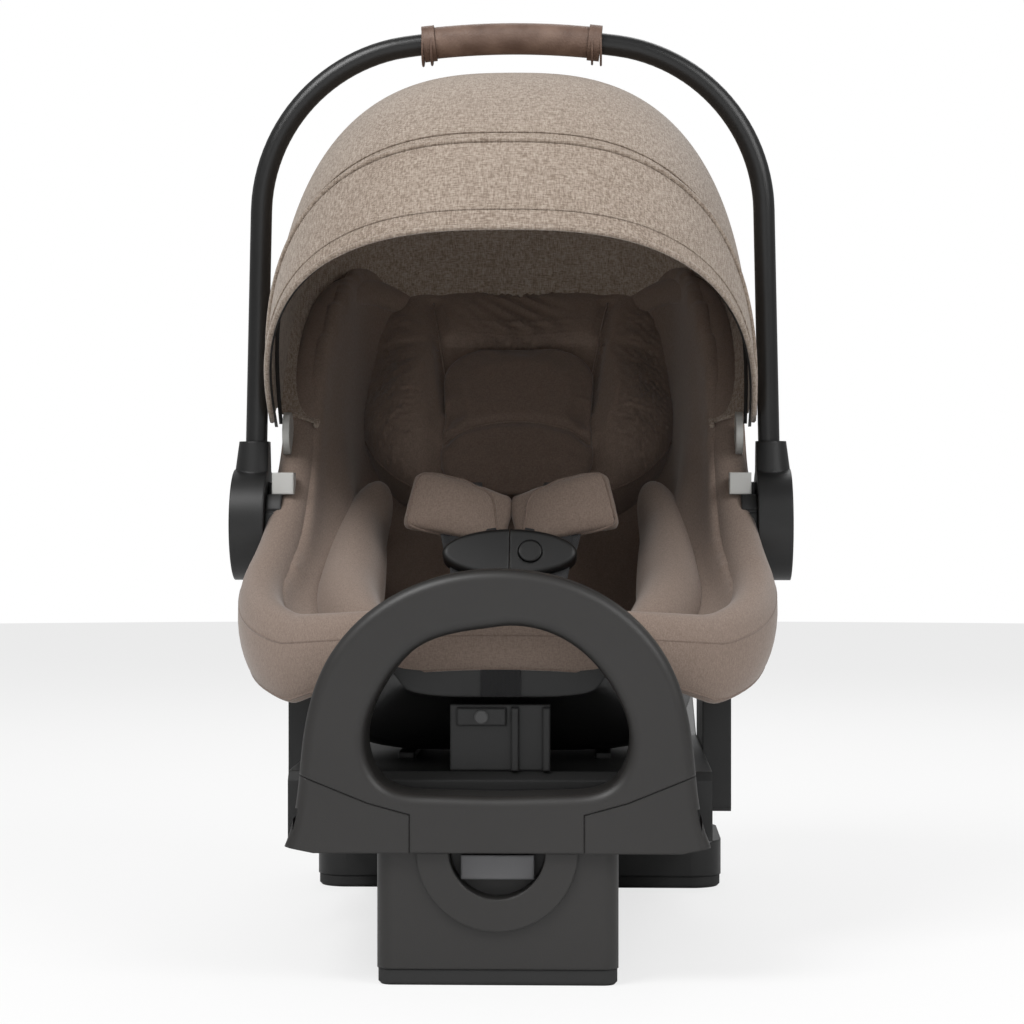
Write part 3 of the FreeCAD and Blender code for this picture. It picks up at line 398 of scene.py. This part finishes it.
def tube(name: str, points: Sequence[Vector], radius: float, loop: bool = False,
         sides: int = 6) -> bpy.types.Object:
    """Round cord or piping through points.

    Args:
        name: The piece's name.
        points: The points of its middle line.
        radius: Its radius.
        loop: Whether it closes on itself.
        sides: Sides of its section.

    Returns:
        The new object, closed at both ends.
    """
    count = len(points)

    def section(u: float, v: float) -> Vector:
        k = min(int(round(v * count)), count) if loop else int(round(v * (count - 1)))
        here = points[k % count]
        before = points[(k - 1) % count] if loop else points[max(k - 1, 0)]
        after = points[(k + 1) % count] if loop else points[min(k + 1, count - 1)]
        along = (after - before).normalized()
        side = along.cross(Vector((0.13, 0.21, 0.97))).normalized()
        up = side.cross(along)
        turn = 2 * math.pi * u
        return here + (side * math.cos(turn) + up * math.sin(turn)) * radius
    obj = surface(name, section, sides, count if loop else count - 1, closed=True)
    if not loop:
        activate(obj)
        bpy.ops.object.mode_set(mode="EDIT")
        bpy.ops.mesh.select_all(action="SELECT")
        bpy.ops.mesh.fill_holes(sides=sides + 1)
        bpy.ops.mesh.normals_make_consistent(inside=False)
        bpy.ops.object.mode_set(mode="OBJECT")
    return obj


def join(pieces: Sequence[bpy.types.Object], name: str) -> bpy.types.Object:
    """Join pieces into the first one."""
    activate(pieces[0])
    for piece in pieces[1:]:
        piece.select_set(True)
    bpy.ops.object.join()
    pieces[0].name = name
    return pieces[0]


def copy_of_node(node: str, name: str) -> bpy.types.Object:
    """Merged copy of a CAD node's mesh."""
    source = next(o for o in bpy.data.objects if o.get("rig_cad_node") and o.name == node) \
        if any(o.name == node and o.get("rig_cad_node") for o in bpy.data.objects) \
        else FRAME["nodes"][node]
    mesh = source.data.copy()
    obj = bpy.data.objects.new(name, mesh)
    bpy.context.scene.collection.objects.link(obj)
    obj.data.materials.clear()
    activate(obj)
    bpy.ops.object.mode_set(mode="EDIT")
    bpy.ops.mesh.select_all(action="SELECT")
    bpy.ops.mesh.remove_doubles(threshold=0.00001)
    bpy.ops.object.mode_set(mode="OBJECT")
    return obj


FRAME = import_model()


def smooth_line(*points: Tuple[float, float]) -> Callable[[float], float]:
    """Smooth function through a few points, level at each end."""
    def value(x: float) -> float:
        x = min(max(x, points[0][0]), points[-1][0])
        i = max(k for k in range(len(points) - 1) if points[k][0] <= x or k == 0)
        (x0, y0), (x1, y1) = points[i], points[i + 1]
        s = (x - x0) / (x1 - x0)

        def slope(k: int) -> float:
            if k <= 0 or k >= len(points) - 1:
                return 0.0
            a = (points[k][1] - points[k - 1][1]) / (points[k][0] - points[k - 1][0])
            b = (points[k + 1][1] - points[k][1]) / (points[k + 1][0] - points[k][0])
            return 0.0 if a * b <= 0 else 2 * a * b / (a + b)
        w = x1 - x0
        return ((1 + 2 * s) * (1 - s) ** 2 * y0 + s * s * (3 - 2 * s) * y1
                + w * (s * (1 - s) ** 2 * slope(i) - s * s * (1 - s) * slope(i + 1)))
    return value


# ---------------------------------------------------------------- the carrier's rim
@dataclass
class Rim:
    """Rim line of the carrier's tub: height and half width along its length."""

    foot: float = -0.252
    head: float = 0.292
    height: Callable[[float], float] = field(init=False)
    half: Callable[[float], float] = field(init=False)

    def __post_init__(self) -> None:
        """Set the two lines, and read the length off the shell's box."""
        low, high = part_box("carrier_shell")
        self.foot, self.head = low[1], high[1]
        self.height = smooth_line((self.foot, 0.221), (-0.12, 0.256), (-0.04, 0.300), (0.02, 0.358),
                                  (0.10, 0.458), (0.16, 0.506), (0.22, 0.530), (self.head, 0.496))
        self.half = smooth_line((self.foot, 0.098), (-0.205, 0.162), (-0.12, 0.188),
                                (-0.045, 0.177), (0.10, 0.175), (0.16, 0.164), (0.22, 0.148),
                                (self.head, 0.087))

    def loop(self, count: int = 200) -> List[Vector]:
        """Even points round the rim, corners softened, from the middle of the foot end."""
        steps = 80
        ys = [self.foot + (self.head - self.foot) * k / steps for k in range(steps + 1)]
        right = [Vector((self.half(y), y, self.height(y))) for y in ys]
        left = [Vector((-p.x, p.y, p.z)) for p in reversed(right)]

        def bridge(a: Vector, b: Vector, parts: int) -> List[Vector]:
            return [a.lerp(b, k / parts) for k in range(1, parts)]
        ring = right + bridge(right[-1], left[0], 16) + left + bridge(left[-1], right[0], 16)
        for _ in range(60):
            n = len(ring)
            ring = [ring[i] * 0.5 + (ring[i - 1] + ring[(i + 1) % n]) * 0.25 for i in range(n)]
        return resample(ring, count)


def resample(ring: Sequence[Vector], count: int) -> List[Vector]:
    """Even points along a closed ring."""
    n = len(ring)
    lengths = [(ring[(i + 1) % n] - ring[i]).length for i in range(n)]
    total, step = sum(lengths), sum(lengths) / count
    points, i, gone = [], 0, 0.0
    for k in range(count):
        target = k * step
        while gone + lengths[i] < target and i < n - 1:
            gone += lengths[i]
            i += 1
        points.append(ring[i].lerp(ring[(i + 1) % n], (target - gone) / max(lengths[i], 1e-9)))
    return points


# ---------------------------------------------------------------- padding by simulation
@dataclass(frozen=True)
class Puff:
    """Turns a plain solid into a stuffed pad: remesh, inflate as cloth, cap and subdivide."""

    voxel: float = 0.005
    pressure: float = 4.0
    cap: float = 0.008
    frames: int = 20
    smooth: int = 6

    def apply(self, obj: bpy.types.Object) -> None:
        """Puff an object in place.

        Args:
            obj: A closed mesh.
        """
        apply_modifier(obj, "REMESH", mode="VOXEL", voxel_size=self.voxel)
        apply_modifier(obj, "SMOOTH", factor=0.5, iterations=self.smooth)
        if self.cap > 0:
            self._inflate(obj)
        apply_modifier(obj, "SUBSURF", levels=1, render_levels=1)
        activate(obj)
        bpy.ops.object.shade_smooth()

    def _inflate(self, obj: bpy.types.Object) -> None:
        """Run the cloth and keep each point within the cap."""
        before = [v.co.copy() for v in obj.data.vertices]
        activate(obj)
        modifier = obj.modifiers.new("cloth", "CLOTH")
        cloth = modifier.settings
        cloth.use_pressure = True
        cloth.uniform_pressure_force = self.pressure
        cloth.effector_weights.gravity = 0.0
        modifier.point_cache.frame_start = 1
        modifier.point_cache.frame_end = self.frames
        scene = bpy.context.scene
        for frame in range(1, self.frames + 1):
            scene.frame_set(frame)
        bpy.ops.object.modifier_apply(modifier=modifier.name)
        scene.frame_set(1)
        for vertex, old in zip(obj.data.vertices, before):
            move = vertex.co - old
            if move.length > self.cap:
                vertex.co = old + move.normalized() * self.cap


def press_seam(obj: bpy.types.Object, line: Sequence[Vector], depth: float, width: float) -> None:
    """Sink a sewn channel into a pad along a line.

    Args:
        obj: The pad, finished.
        line: Points of the seam, near the pad's surface.
        depth: How far the channel sinks.
        width: How far from the line it reaches.
    """
    obj.data.update()
    for vertex in obj.data.vertices:
        near = min((vertex.co - p).length for p in line)
        if near < width:
            share = 1 - near / width
            vertex.co -= vertex.normal * depth * share * share * (3 - 2 * share)


def on_surface(obj: bpy.types.Object, line: Iterable[Vector], toward: Vector,
               proud: float) -> List[Vector]:
    """Project points on a piece along a direction.

    Args:
        obj: The piece.
        line: The points, in front of it.
        toward: The direction to look in.
        proud: How far outside the surface the result lies.
    """
    found = []
    for point in line:
        start = point - toward * 0.3
        hit, place, normal, _ = obj.ray_cast(start, toward)
        if hit:
            found.append(place + normal * proud)
    return found


# ---------------------------------------------------------------- soft pieces of the seat
@dataclass
class SeatLiner:
    """Knitted cover of the tub, with the rolled edge that wraps over the shell's rim."""

    finishes: Finishes
    rim: Rim
    fat_front: float = 1.45

    def build(self) -> None:
        """Make the liner, its roll and its seams."""
        liner = copy_of_node("seat_cover", "liner")
        Puff(voxel=0.006, cap=0.0, smooth=8).apply(liner)
        self.finishes.dress(liner, "seat_fabric")
        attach(liner, Body.CARRIER.value)
        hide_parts("seat_cover")
        roll = self._roll()
        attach(roll, Body.CARRIER.value)
        LOG.info("liner and roll made")

    def _frames(self) -> List[Tuple[Vector, Vector, float]]:
        """Place, outward direction and fatness for each point of the rim."""
        points = self.rim.loop()
        n = len(points)
        frames = []
        for i, p in enumerate(points):
            along = points[(i + 1) % n] - points[i - 1]
            out = Vector((along.y, -along.x, 0)).normalized()
            front = max(0.0, min(1.0, (0.03 - p.y) / 0.12))
            frames.append((p, out, 0.75 + (self.fat_front - 0.75) * front))
        return frames

    @staticmethod
    def _roll_point(p: Vector, out: Vector, fat: float, across: float, up: float) -> Vector:
        """Point of the roll's section at one place of the rim."""
        lip = max(0.0, min(1.0, (-0.20 - p.y) / 0.05))
        flare = 0.006 * max(0.0, 1 - abs(p.y + 0.10) / 0.12)
        drop = up * (fat if up > 0 else fat * (1 - 0.45 * lip)) + 0.016 * lip
        return p + out * (across * (0.6 + 0.4 * fat) + flare) + Vector((0, 0, drop))

    def _roll(self) -> bpy.types.Object:
        """Closed roll of fabric over the rim, fatter at the foot end."""
        section = [(-0.020, -0.020), (-0.019, -0.004), (-0.015, 0.006), (-0.008, 0.0115),
                   (0.0, 0.0125), (0.006, 0.010), (0.0105, 0.004), (0.0125, -0.005),
                   (0.0120, -0.015), (0.0095, -0.024), (0.0055, -0.031), (0.001, -0.034),
                   (-0.004, -0.030), (-0.008, -0.024), (-0.014, -0.023)]
        frames, m = self._frames(), len(section)
        n = len(frames)

        def place(u: float, v: float) -> Vector:
            p, out, fat = frames[int(round(v * n)) % n]
            across, up = section[int(round(u * m)) % m]
            return self._roll_point(p, out, fat, across, up)
        roll = surface("liner_roll", place, m, n, closed=True)
        apply_modifier(roll, "SUBSURF", levels=1, render_levels=1)
        activate(roll)
        bpy.ops.object.shade_smooth()
        self.finishes.dress(roll, "seat_fabric")
        piping = []
        for across, up in ((0.0108, -0.002), (0.0045, -0.0305)):
            line = [self._roll_point(p, out, fat, across, up) for p, out, fat in frames]
            piping.append(tube("roll_piping_%d" % len(piping), line, 0.0014, loop=True))
        seam = join(piping, "roll_piping")
        self.finishes.dress(seam, "pillow_fabric")
        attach(seam, Body.CARRIER.value)
        return roll


@dataclass
class Pads:
    """Head pillow, body pads and shoulder pads, each stuffed and stitched."""

    finishes: Finishes
    tilt: float = math.radians(40)

    @property
    def inward(self) -> Vector:
        """Direction from the child towards the seat's back."""
        return Vector((0, math.cos(self.tilt), -math.sin(self.tilt)))

    def stuffed(self, node: str, name: str, puff: Puff,
                finish: str = "seat_fabric") -> bpy.types.Object:
        """Pad from a node's solid.

        Args:
            node: The CAD node that it replaces.
            name: The piece's name.
            puff: How it is stuffed.
            finish: The finish's key.

        Returns:
            The pad.
        """
        pad = copy_of_node(node, name)
        puff.apply(pad)
        self.finishes.dress(pad, finish)
        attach(pad, Body.CARRIER.value)
        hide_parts(node)
        return pad

    def trim(self, line: Sequence[Vector], name: str, radius: float, loop: bool = False) -> None:
        """Piping or a stitched thread on a pad."""
        if len(line) < 4:
            LOG.warning("no line for %s", name)
            return
        cord = tube(name, line, radius, loop)
        self.finishes.dress(cord, "pillow_fabric")
        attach(cord, Body.CARRIER.value)

    def build(self) -> None:
        """Make all pads."""
        pillow = self.stuffed("head_pillow", "head_pillow_pad", Puff(cap=0.009))
        centre = self.stuffed("pillow_centre", "pillow_centre_pad", Puff(voxel=0.004, cap=0.006),
                              "pillow_fabric")
        self.stuffed("seat_insert", "seat_insert_pad", Puff(cap=0.006))
        for side in ("left", "right"):
            self._bolster(side)
            pad = self.stuffed("shoulder_pad_" + side, "shoulder_pad_soft_" + side,
                               Puff(voxel=0.003, cap=0.003))
            self._fold(pad, -1 if side == "left" else 1)
        self._lobes(pillow)
        self._pillow_seams(pillow)
        self._centre_seam(centre)

    def _bolster(self, side: str) -> None:
        """Fat side bolster along the liner's wall, in place of the plain one."""
        sign = -1 if side == "left" else 1
        line = [Vector(p) for p in ((0.112, 0.085, 0.335), (0.124, 0.020, 0.292),
                                    (0.124, -0.060, 0.252), (0.108, -0.135, 0.226),
                                    (0.078, -0.178, 0.214))]
        xs = [smooth_line(*((k / 4, q[axis]) for k, q in enumerate(line))) for axis in range(3)]

        def place(u: float, v: float) -> Vector:
            a = 2 * math.pi * u
            centre = Vector((sign * xs[0](v), xs[1](v), xs[2](v)))
            r = 0.031 * abs(math.sin(math.pi * v)) ** 0.42
            return centre + Vector((r * 0.85 * math.cos(a), 0, r * 1.1 * math.sin(a)))
        pad = surface("bolster_pad_" + side, place, 40, 40, closed=True)
        self.finishes.dress(pad, "seat_fabric")
        activate(pad)
        bpy.ops.object.shade_smooth()
        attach(pad, Body.CARRIER.value)
        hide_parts("bolster_" + side)

    def _fold(self, pad: bpy.types.Object, sign: int) -> None:
        """Turn a shoulder pad so that its inner end droops, and stitch its edge."""
        points = [v.co for v in pad.data.vertices]
        centre = sum(points, Vector()) / len(points)
        turn = Matrix.Rotation(-sign * math.radians(24), 3, "Y")
        for vertex in pad.data.vertices:
            local = turn @ (vertex.co - centre)
            droop = 0.012 * (abs(local.x) / 0.04) ** 2
            vertex.co = centre + local * 1.08 + Vector((0, droop, -droop * 0.4))
        pad.data.update()
        ring = []
        for k in range(72):
            a = 2 * math.pi * k / 72
            way = Vector((math.cos(a), 0.3 * math.sin(a), math.sin(a)))
            hit, place, _, _ = pad.ray_cast(centre + way * 0.2, -way)
            if hit:
                ring.append(place)
        self.trim(ring, "shoulder_piping_%s" % ("left" if sign < 0 else "right"), 0.0013, True)

    def _lobes(self, pillow: bpy.types.Object) -> None:
        """Swell the pillow's side wings towards the child and hollow its upper middle."""
        low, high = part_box("head_pillow")
        half = high[0] * 1.12
        up_way = Vector((0, math.sin(self.tilt), math.cos(self.tilt)))
        foot = Vector((0, low[1], low[2]))
        for vertex in pillow.data.vertices:
            vertex.co.x *= 1.12
            vertex.co += up_way * ((vertex.co - foot).dot(up_way) * 0.07)
        pillow.data.update()
        for vertex in pillow.data.vertices:
            facing = max(0.0, -vertex.normal.dot(self.inward))
            side = abs(vertex.co.x) / half
            up = (vertex.co.z - low[2]) / (high[2] - low[2])
            wing = math.exp(-((side - 0.74) / 0.20) ** 2) * max(0.0, 1 - abs(up - 0.5) * 1.3)
            dish = math.exp(-(side / 0.42) ** 2) * max(0.0, min(1.0, (up - 0.45) * 4))
            vertex.co -= self.inward * facing * (0.014 * wing - 0.012 * dish)
        pillow.data.update()

    def _pillow_seams(self, pillow: bpy.types.Object) -> None:
        """Two sewn lines from the centre pillow up to the pillow's top edge, and edge piping."""
        low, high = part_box("pillow_centre")
        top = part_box("head_pillow")[1]
        for sign in (-1, 1):
            start = Vector((sign * high[0] * 0.86, low[1], high[2] - 0.004))
            end = Vector((sign * high[0] * 1.16, top[1] - 0.04, top[2] - 0.012))
            line = [start.lerp(end, k / 24) for k in range(25)]
            line = on_surface(pillow, line, self.inward, 0.0)
            press_seam(pillow, line, 0.005, 0.012)
            self.trim(line, "pillow_seam_%s" % ("left" if sign < 0 else "right"), 0.0009)
        self._edge_piping(pillow)
        pillow.data.update()

    def _edge_piping(self, pillow: bpy.types.Object) -> None:
        """Piping round the pillow where its face turns into its side."""
        low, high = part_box("head_pillow")
        middle = Vector(((low[0] + high[0]) / 2, (low[1] + high[1]) / 2, (low[2] + high[2]) / 2))
        up = Vector((0, math.sin(self.tilt), math.cos(self.tilt)))
        ring = []
        for k in range(96):
            a = 2 * math.pi * k / 96
            way = Vector((1, 0, 0)) * math.cos(a) + up * math.sin(a)
            hit, place, normal, _ = pillow.ray_cast(middle + way * 0.4, -way)
            if hit:
                ring.append(place)
        if len(ring) > 80:
            for _ in range(3):
                ring = [ring[i] * 0.5 + (ring[i - 1] + ring[(i + 1) % len(ring)]) * 0.25
                        for i in range(len(ring))]
            self.trim(ring, "pillow_piping", 0.0016, True)

    def _centre_seam(self, centre: bpy.types.Object) -> None:
        """Arched stitching across the lower half of the centre pillow."""
        low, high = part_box("pillow_centre")
        half = high[0] * 0.9
        middle_y = (low[1] + high[1]) / 2
        points = []
        for k in range(33):
            x = -half + 2 * half * k / 32
            rise = 0.022 * (1 - (x / half) ** 2)
            points.append(Vector((x, middle_y, low[2] + 0.030 + rise)))
        line = on_surface(centre, points, self.inward, 0.0)
        press_seam(centre, line, 0.003, 0.009)
        self.trim(on_surface(centre, points, self.inward, 0.0004), "centre_stitch", 0.0006)


@dataclass
class Harness:
    """Webbing between the solids of the harness, woven and flat."""

    finishes: Finishes
    width: float = 0.036
    thick: float = 0.0016

    def _strap(self, name: str, line: Sequence[Point], twist: float = 0.0) -> None:
        """Ribbon along a smooth line.

        Args:
            name: The ribbon's name.
            line: Places of its middle, from one end to the other.
            twist: Turn of its width about the line's end, in degrees.
        """
        last = len(line) - 1
        path = [smooth_line(*((k / last, q[axis]) for k, q in enumerate(line))) for axis in range(3)]

        def place(u: float, v: float) -> Vector:
            a = math.radians(twist) * v
            across = Vector((math.cos(a), 0, math.sin(a))) * (self.width * (u - 0.5))
            return Vector((path[0](v), path[1](v), path[2](v))) + across
        strap = surface(name, place, 6, 24)
        apply_modifier(strap, "SOLIDIFY", thickness=self.thick, offset=0.0)
        self.finishes.dress(strap, "webbing")
        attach(strap, Body.CARRIER.value)

    def build(self) -> None:
        """Make the four visible runs."""
        for name, sign in (("left", -1), ("right", 1)):
            self._strap("strap_chest_" + name, ((sign * 0.040, -0.022, 0.322),
                                                (sign * 0.036, -0.038, 0.302),
                                                (sign * 0.031, -0.049, 0.285)), -sign * 8.0)
            self._strap("strap_waist_" + name, ((sign * 0.029, -0.054, 0.283),
                                                (sign * 0.025, -0.073, 0.264),
                                                (sign * 0.019, -0.088, 0.252)))
            self._strap("strap_back_" + name, ((sign * 0.041, -0.016, 0.330),
                                               (sign * 0.043, 0.030, 0.345),
                                               (sign * 0.044, 0.080, 0.330)))


# ---------------------------------------------------------------- canopy
@dataclass
class Canopy:
    """Canopy of one curved sheet from the shell to the bow, and its visor beyond the bow."""

    finishes: Finishes
    pivot: Vector = field(default_factory=lambda: Vector((0, 0.020, 0.385)))
    half: float = 0.190
    reach: float = 0.291
    rear_reach: float = 0.274
    start: float = 0.020
    bow: float = 45.0
    brim: float = 62.0
    rear: float = -70.0

    def point(self, turn: float, share: float, grow: float = 0.0) -> Vector:
        """Point of the canopy's skin.

        Args:
            turn: Angle of the arch from the upright, forward positive, in degrees.
            share: Place along the arch, from 0 at one tail to 1 at the other.
            grow: How far outside the skin the point lies.
        """
        rear = max(0.0, min(1.0, -turn / 50.0))
        tuck = max(0.0, min(1.0, (-turn - 42.0) / 28.0))
        reach = self.reach + (self.rear_reach - self.reach) * rear - 0.010 * tuck + grow
        half = self.half - 0.030 * tuck + grow
        square = 2.7 + 1.4 * rear
        low = math.asin(min(1.0, (self.start / reach) ** (square / 2)))
        t = low + (math.pi - 2 * low) * share
        x = -half * math.copysign(abs(math.cos(t)) ** (2 / square), math.cos(t))
        r = reach * math.sin(t) ** (2 / square)
        sag = 0.0
        if -50 < turn < self.bow:
            sag = 0.006 * math.sin(math.pi * (turn + 50) / (self.bow + 50)) * math.sin(t)
        a = math.radians(turn)
        return self.pivot + Vector((x, -math.sin(a) * (r - sag), math.cos(a) * (r - sag)))

    def panel(self, name: str, start: float, end: float, grow: float, thick: float,
              cells: int) -> bpy.types.Object:
        """One sheet between two arches, with its thickness."""
        obj = surface(name, lambda u, v: self.point(start + (end - start) * v, u, grow), 72, cells)
        activate(obj)
        bpy.ops.object.mode_set(mode="EDIT")
        bpy.ops.mesh.select_all(action="SELECT")
        bpy.ops.mesh.normals_make_consistent(inside=False)
        bpy.ops.object.mode_set(mode="OBJECT")
        middle = obj.data.polygons[len(obj.data.polygons) // 2]
        if middle.normal.dot(middle.center - self.pivot) < 0:
            obj.data.flip_normals()
        apply_modifier(obj, "SOLIDIFY", thickness=thick, offset=-1.0)
        apply_modifier(obj, "SUBSURF", levels=1, render_levels=1)
        activate(obj)
        bpy.ops.object.shade_smooth()
        self.finishes.dress(obj, "canopy_fabric")
        return obj

    def hem(self, name: str, turn: float, grow: float, radius: float, body: str) -> None:
        """Rolled hem along one arch."""
        line = [self.point(turn, k / 90, grow) for k in range(91)]
        cord = tube(name, line, radius)
        self.finishes.dress(cord, "canopy_fabric")
        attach(cord, body)

    def build(self) -> None:
        """Make both panels and their hems."""
        main = self.panel("canopy_cloth", self.rear, self.bow, 0.0, 0.0016, 44)
        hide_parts("canopy_main")
        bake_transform(main)
        visor = self.panel("visor_cloth", self.bow, self.brim, 0.0018, 0.0016, 12)
        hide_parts("canopy_visor")
        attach(visor, Body.VISOR.value)
        self.hem("bow_seam", self.bow, 0.0022, 0.0021, Body.CANOPY.value)
        self.hem("bow_stitch", self.bow - 2.6, 0.0004, 0.0008, Body.CANOPY.value)
        self.hem("brim_hem", self.brim - 0.4, 0.0012, 0.0022, Body.VISOR.value)
        self.hem("brim_stitch", self.brim - 3.4, 0.0021, 0.0007, Body.VISOR.value)
        self.hem("rear_hem", self.rear, 0.0, 0.0025, Body.CARRIER.value)


# ---------------------------------------------------------------- grip, frame finishes and stage
@dataclass
class GripStitch:
    """Seam of the leatherette sleeve under the handle's crown."""

    finishes: Finishes

    def build(self) -> None:
        """Make the two rings of piping at each end of the sleeve."""
        low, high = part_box("grip_bands")
        crown = (low[2] + high[2]) / 2 + 0.0008
        rings = []
        for x in (low[0] + 0.0015, low[0] + 0.0085, high[0] - 0.0085, high[0] - 0.0015):
            line = []
            drop = x * x / 1.2
            for k in range(40):
                a = 2 * math.pi * k / 40
                line.append(Vector((x, 0.0142 * math.cos(a), crown - drop + 0.0142 * math.sin(a))))
            rings.append(tube("ring_%d" % len(rings), line, 0.0009, loop=True))
        piping = join(rings, "grip_piping")
        self.finishes.dress(piping, "grip_leather")
        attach(piping, Body.HANDLE.value)


class FrameDress:
    """Better finishes for the frame's own nodes."""

    def __init__(self, finishes: Finishes) -> None:
        """Keep the finishes and read each node's slot from the record."""
        self.finishes = finishes
        self.slots = {s["node"]: s["material_slot"] for s in FRAME["record"]["subparts"]}

    def build(self) -> None:
        """Dress each node that shows."""
        for node, obj in FRAME["nodes"].items():
            slot = self.slots[node]
            for place in obj.material_slots:
                place.link = "OBJECT"
                place.material = self.finishes.by_slot[slot]
            if not obj.material_slots:
                obj.data.materials.append(self.finishes.by_slot[slot])


@dataclass
class Studio:
    """Pale floor, soft lamps and the camera."""

    distance: float = 2.2
    aside: float = 0.07
    eye: float = 0.322
    lens: float = 97.5

    def build(self) -> None:
        """Make floor, lamps, world and camera."""
        self._floor()
        for name, place, size, power in (
                ("key", (-1.2, -1.5, 2.5), 1.3, 52.0), ("fill", (1.7, -1.5, 1.9), 1.5, 28.0),
                ("back", (0.3, 1.8, 2.0), 1.6, 16.0), ("front", (0.0, -2.6, 0.6), 1.6, 5.0)):
            self._lamp(name, Vector(place), size, power)
        self._world()
        self._camera()
        scene = bpy.context.scene
        scene.view_settings.view_transform = "Standard"

    def _floor(self) -> None:
        deselect_all()
        bpy.ops.mesh.primitive_circle_add(vertices=96, radius=6.0, fill_type="NGON")
        floor = bpy.context.object
        floor.name = "floor"
        g = Graph("studio_floor")
        nodes, links = g.nodes, g.links
        emission = nodes.new("ShaderNodeEmission")
        emission.inputs["Color"].default_value = (1, 1, 1, 1)
        mix = nodes.new("ShaderNodeMixShader")
        path = nodes.new("ShaderNodeLightPath")
        g.shader.inputs["Base Color"].default_value = (0.9, 0.9, 0.9, 1)
        g.shader.inputs["Roughness"].default_value = 0.9
        mix.inputs["Fac"].default_value = 0.0
        output = nodes["Material Output"]
        links.new(g.shader.outputs[0], mix.inputs[1])
        links.new(emission.outputs[0], mix.inputs[2])
        share = nodes.new("ShaderNodeMath")
        share.operation = "MULTIPLY"
        share.inputs[1].default_value = 0.74
        links.new(path.outputs["Is Camera Ray"], share.inputs[0])
        links.new(share.outputs[0], mix.inputs["Fac"])
        links.new(mix.outputs[0], output.inputs["Surface"])
        floor.data.materials.append(g.material)

    def _lamp(self, name: str, place: Vector, size: float, power: float) -> None:
        data = bpy.data.lights.new(name, "AREA")
        data.size = size
        data.energy = power
        lamp = bpy.data.objects.new(name, data)
        bpy.context.scene.collection.objects.link(lamp)
        lamp.location = place
        lamp.rotation_euler = (Vector((0, 0, 0.35)) - place).to_track_quat("-Z", "Y").to_euler()

    def _world(self) -> None:
        world = bpy.data.worlds.new("studio")
        bpy.context.scene.world = world
        world.use_nodes = True
        nodes, links = world.node_tree.nodes, world.node_tree.links
        background = nodes["Background"]
        background.inputs["Color"].default_value = (1, 1, 1, 1)
        path = nodes.new("ShaderNodeLightPath")
        strength = nodes.new("ShaderNodeMapRange")
        strength.inputs["To Min"].default_value = 0.34
        strength.inputs["To Max"].default_value = 1.0
        links.new(path.outputs["Is Camera Ray"], strength.inputs["Value"])
        links.new(strength.outputs["Result"], background.inputs["Strength"])

    def _camera(self) -> None:
        data = bpy.data.cameras.new("camera")
        data.lens = self.lens
        data.clip_end = 30.0
        camera = bpy.data.objects.new("camera", data)
        bpy.context.scene.collection.objects.link(camera)
        camera.location = (self.aside, -self.distance, self.eye)
        aim = Vector((0, 0, self.eye)) - camera.location
        camera.rotation_euler = aim.to_track_quat("-Z", "Y").to_euler()
        bpy.context.scene.camera = camera


def main() -> None:
    """Build every piece in order."""
    logging.basicConfig(level=logging.INFO)
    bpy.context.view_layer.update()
    finishes = Finishes()
    Studio().build()
    FrameDress(finishes).build()
    rim = Rim()
    for piece in (SeatLiner(finishes, rim), Pads(finishes), Harness(finishes),
                  Canopy(finishes), GripStitch(finishes)):
        piece.build()
        LOG.info("%s done", type(piece).__name__)
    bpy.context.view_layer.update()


if __name__ == "__main__":
    main()
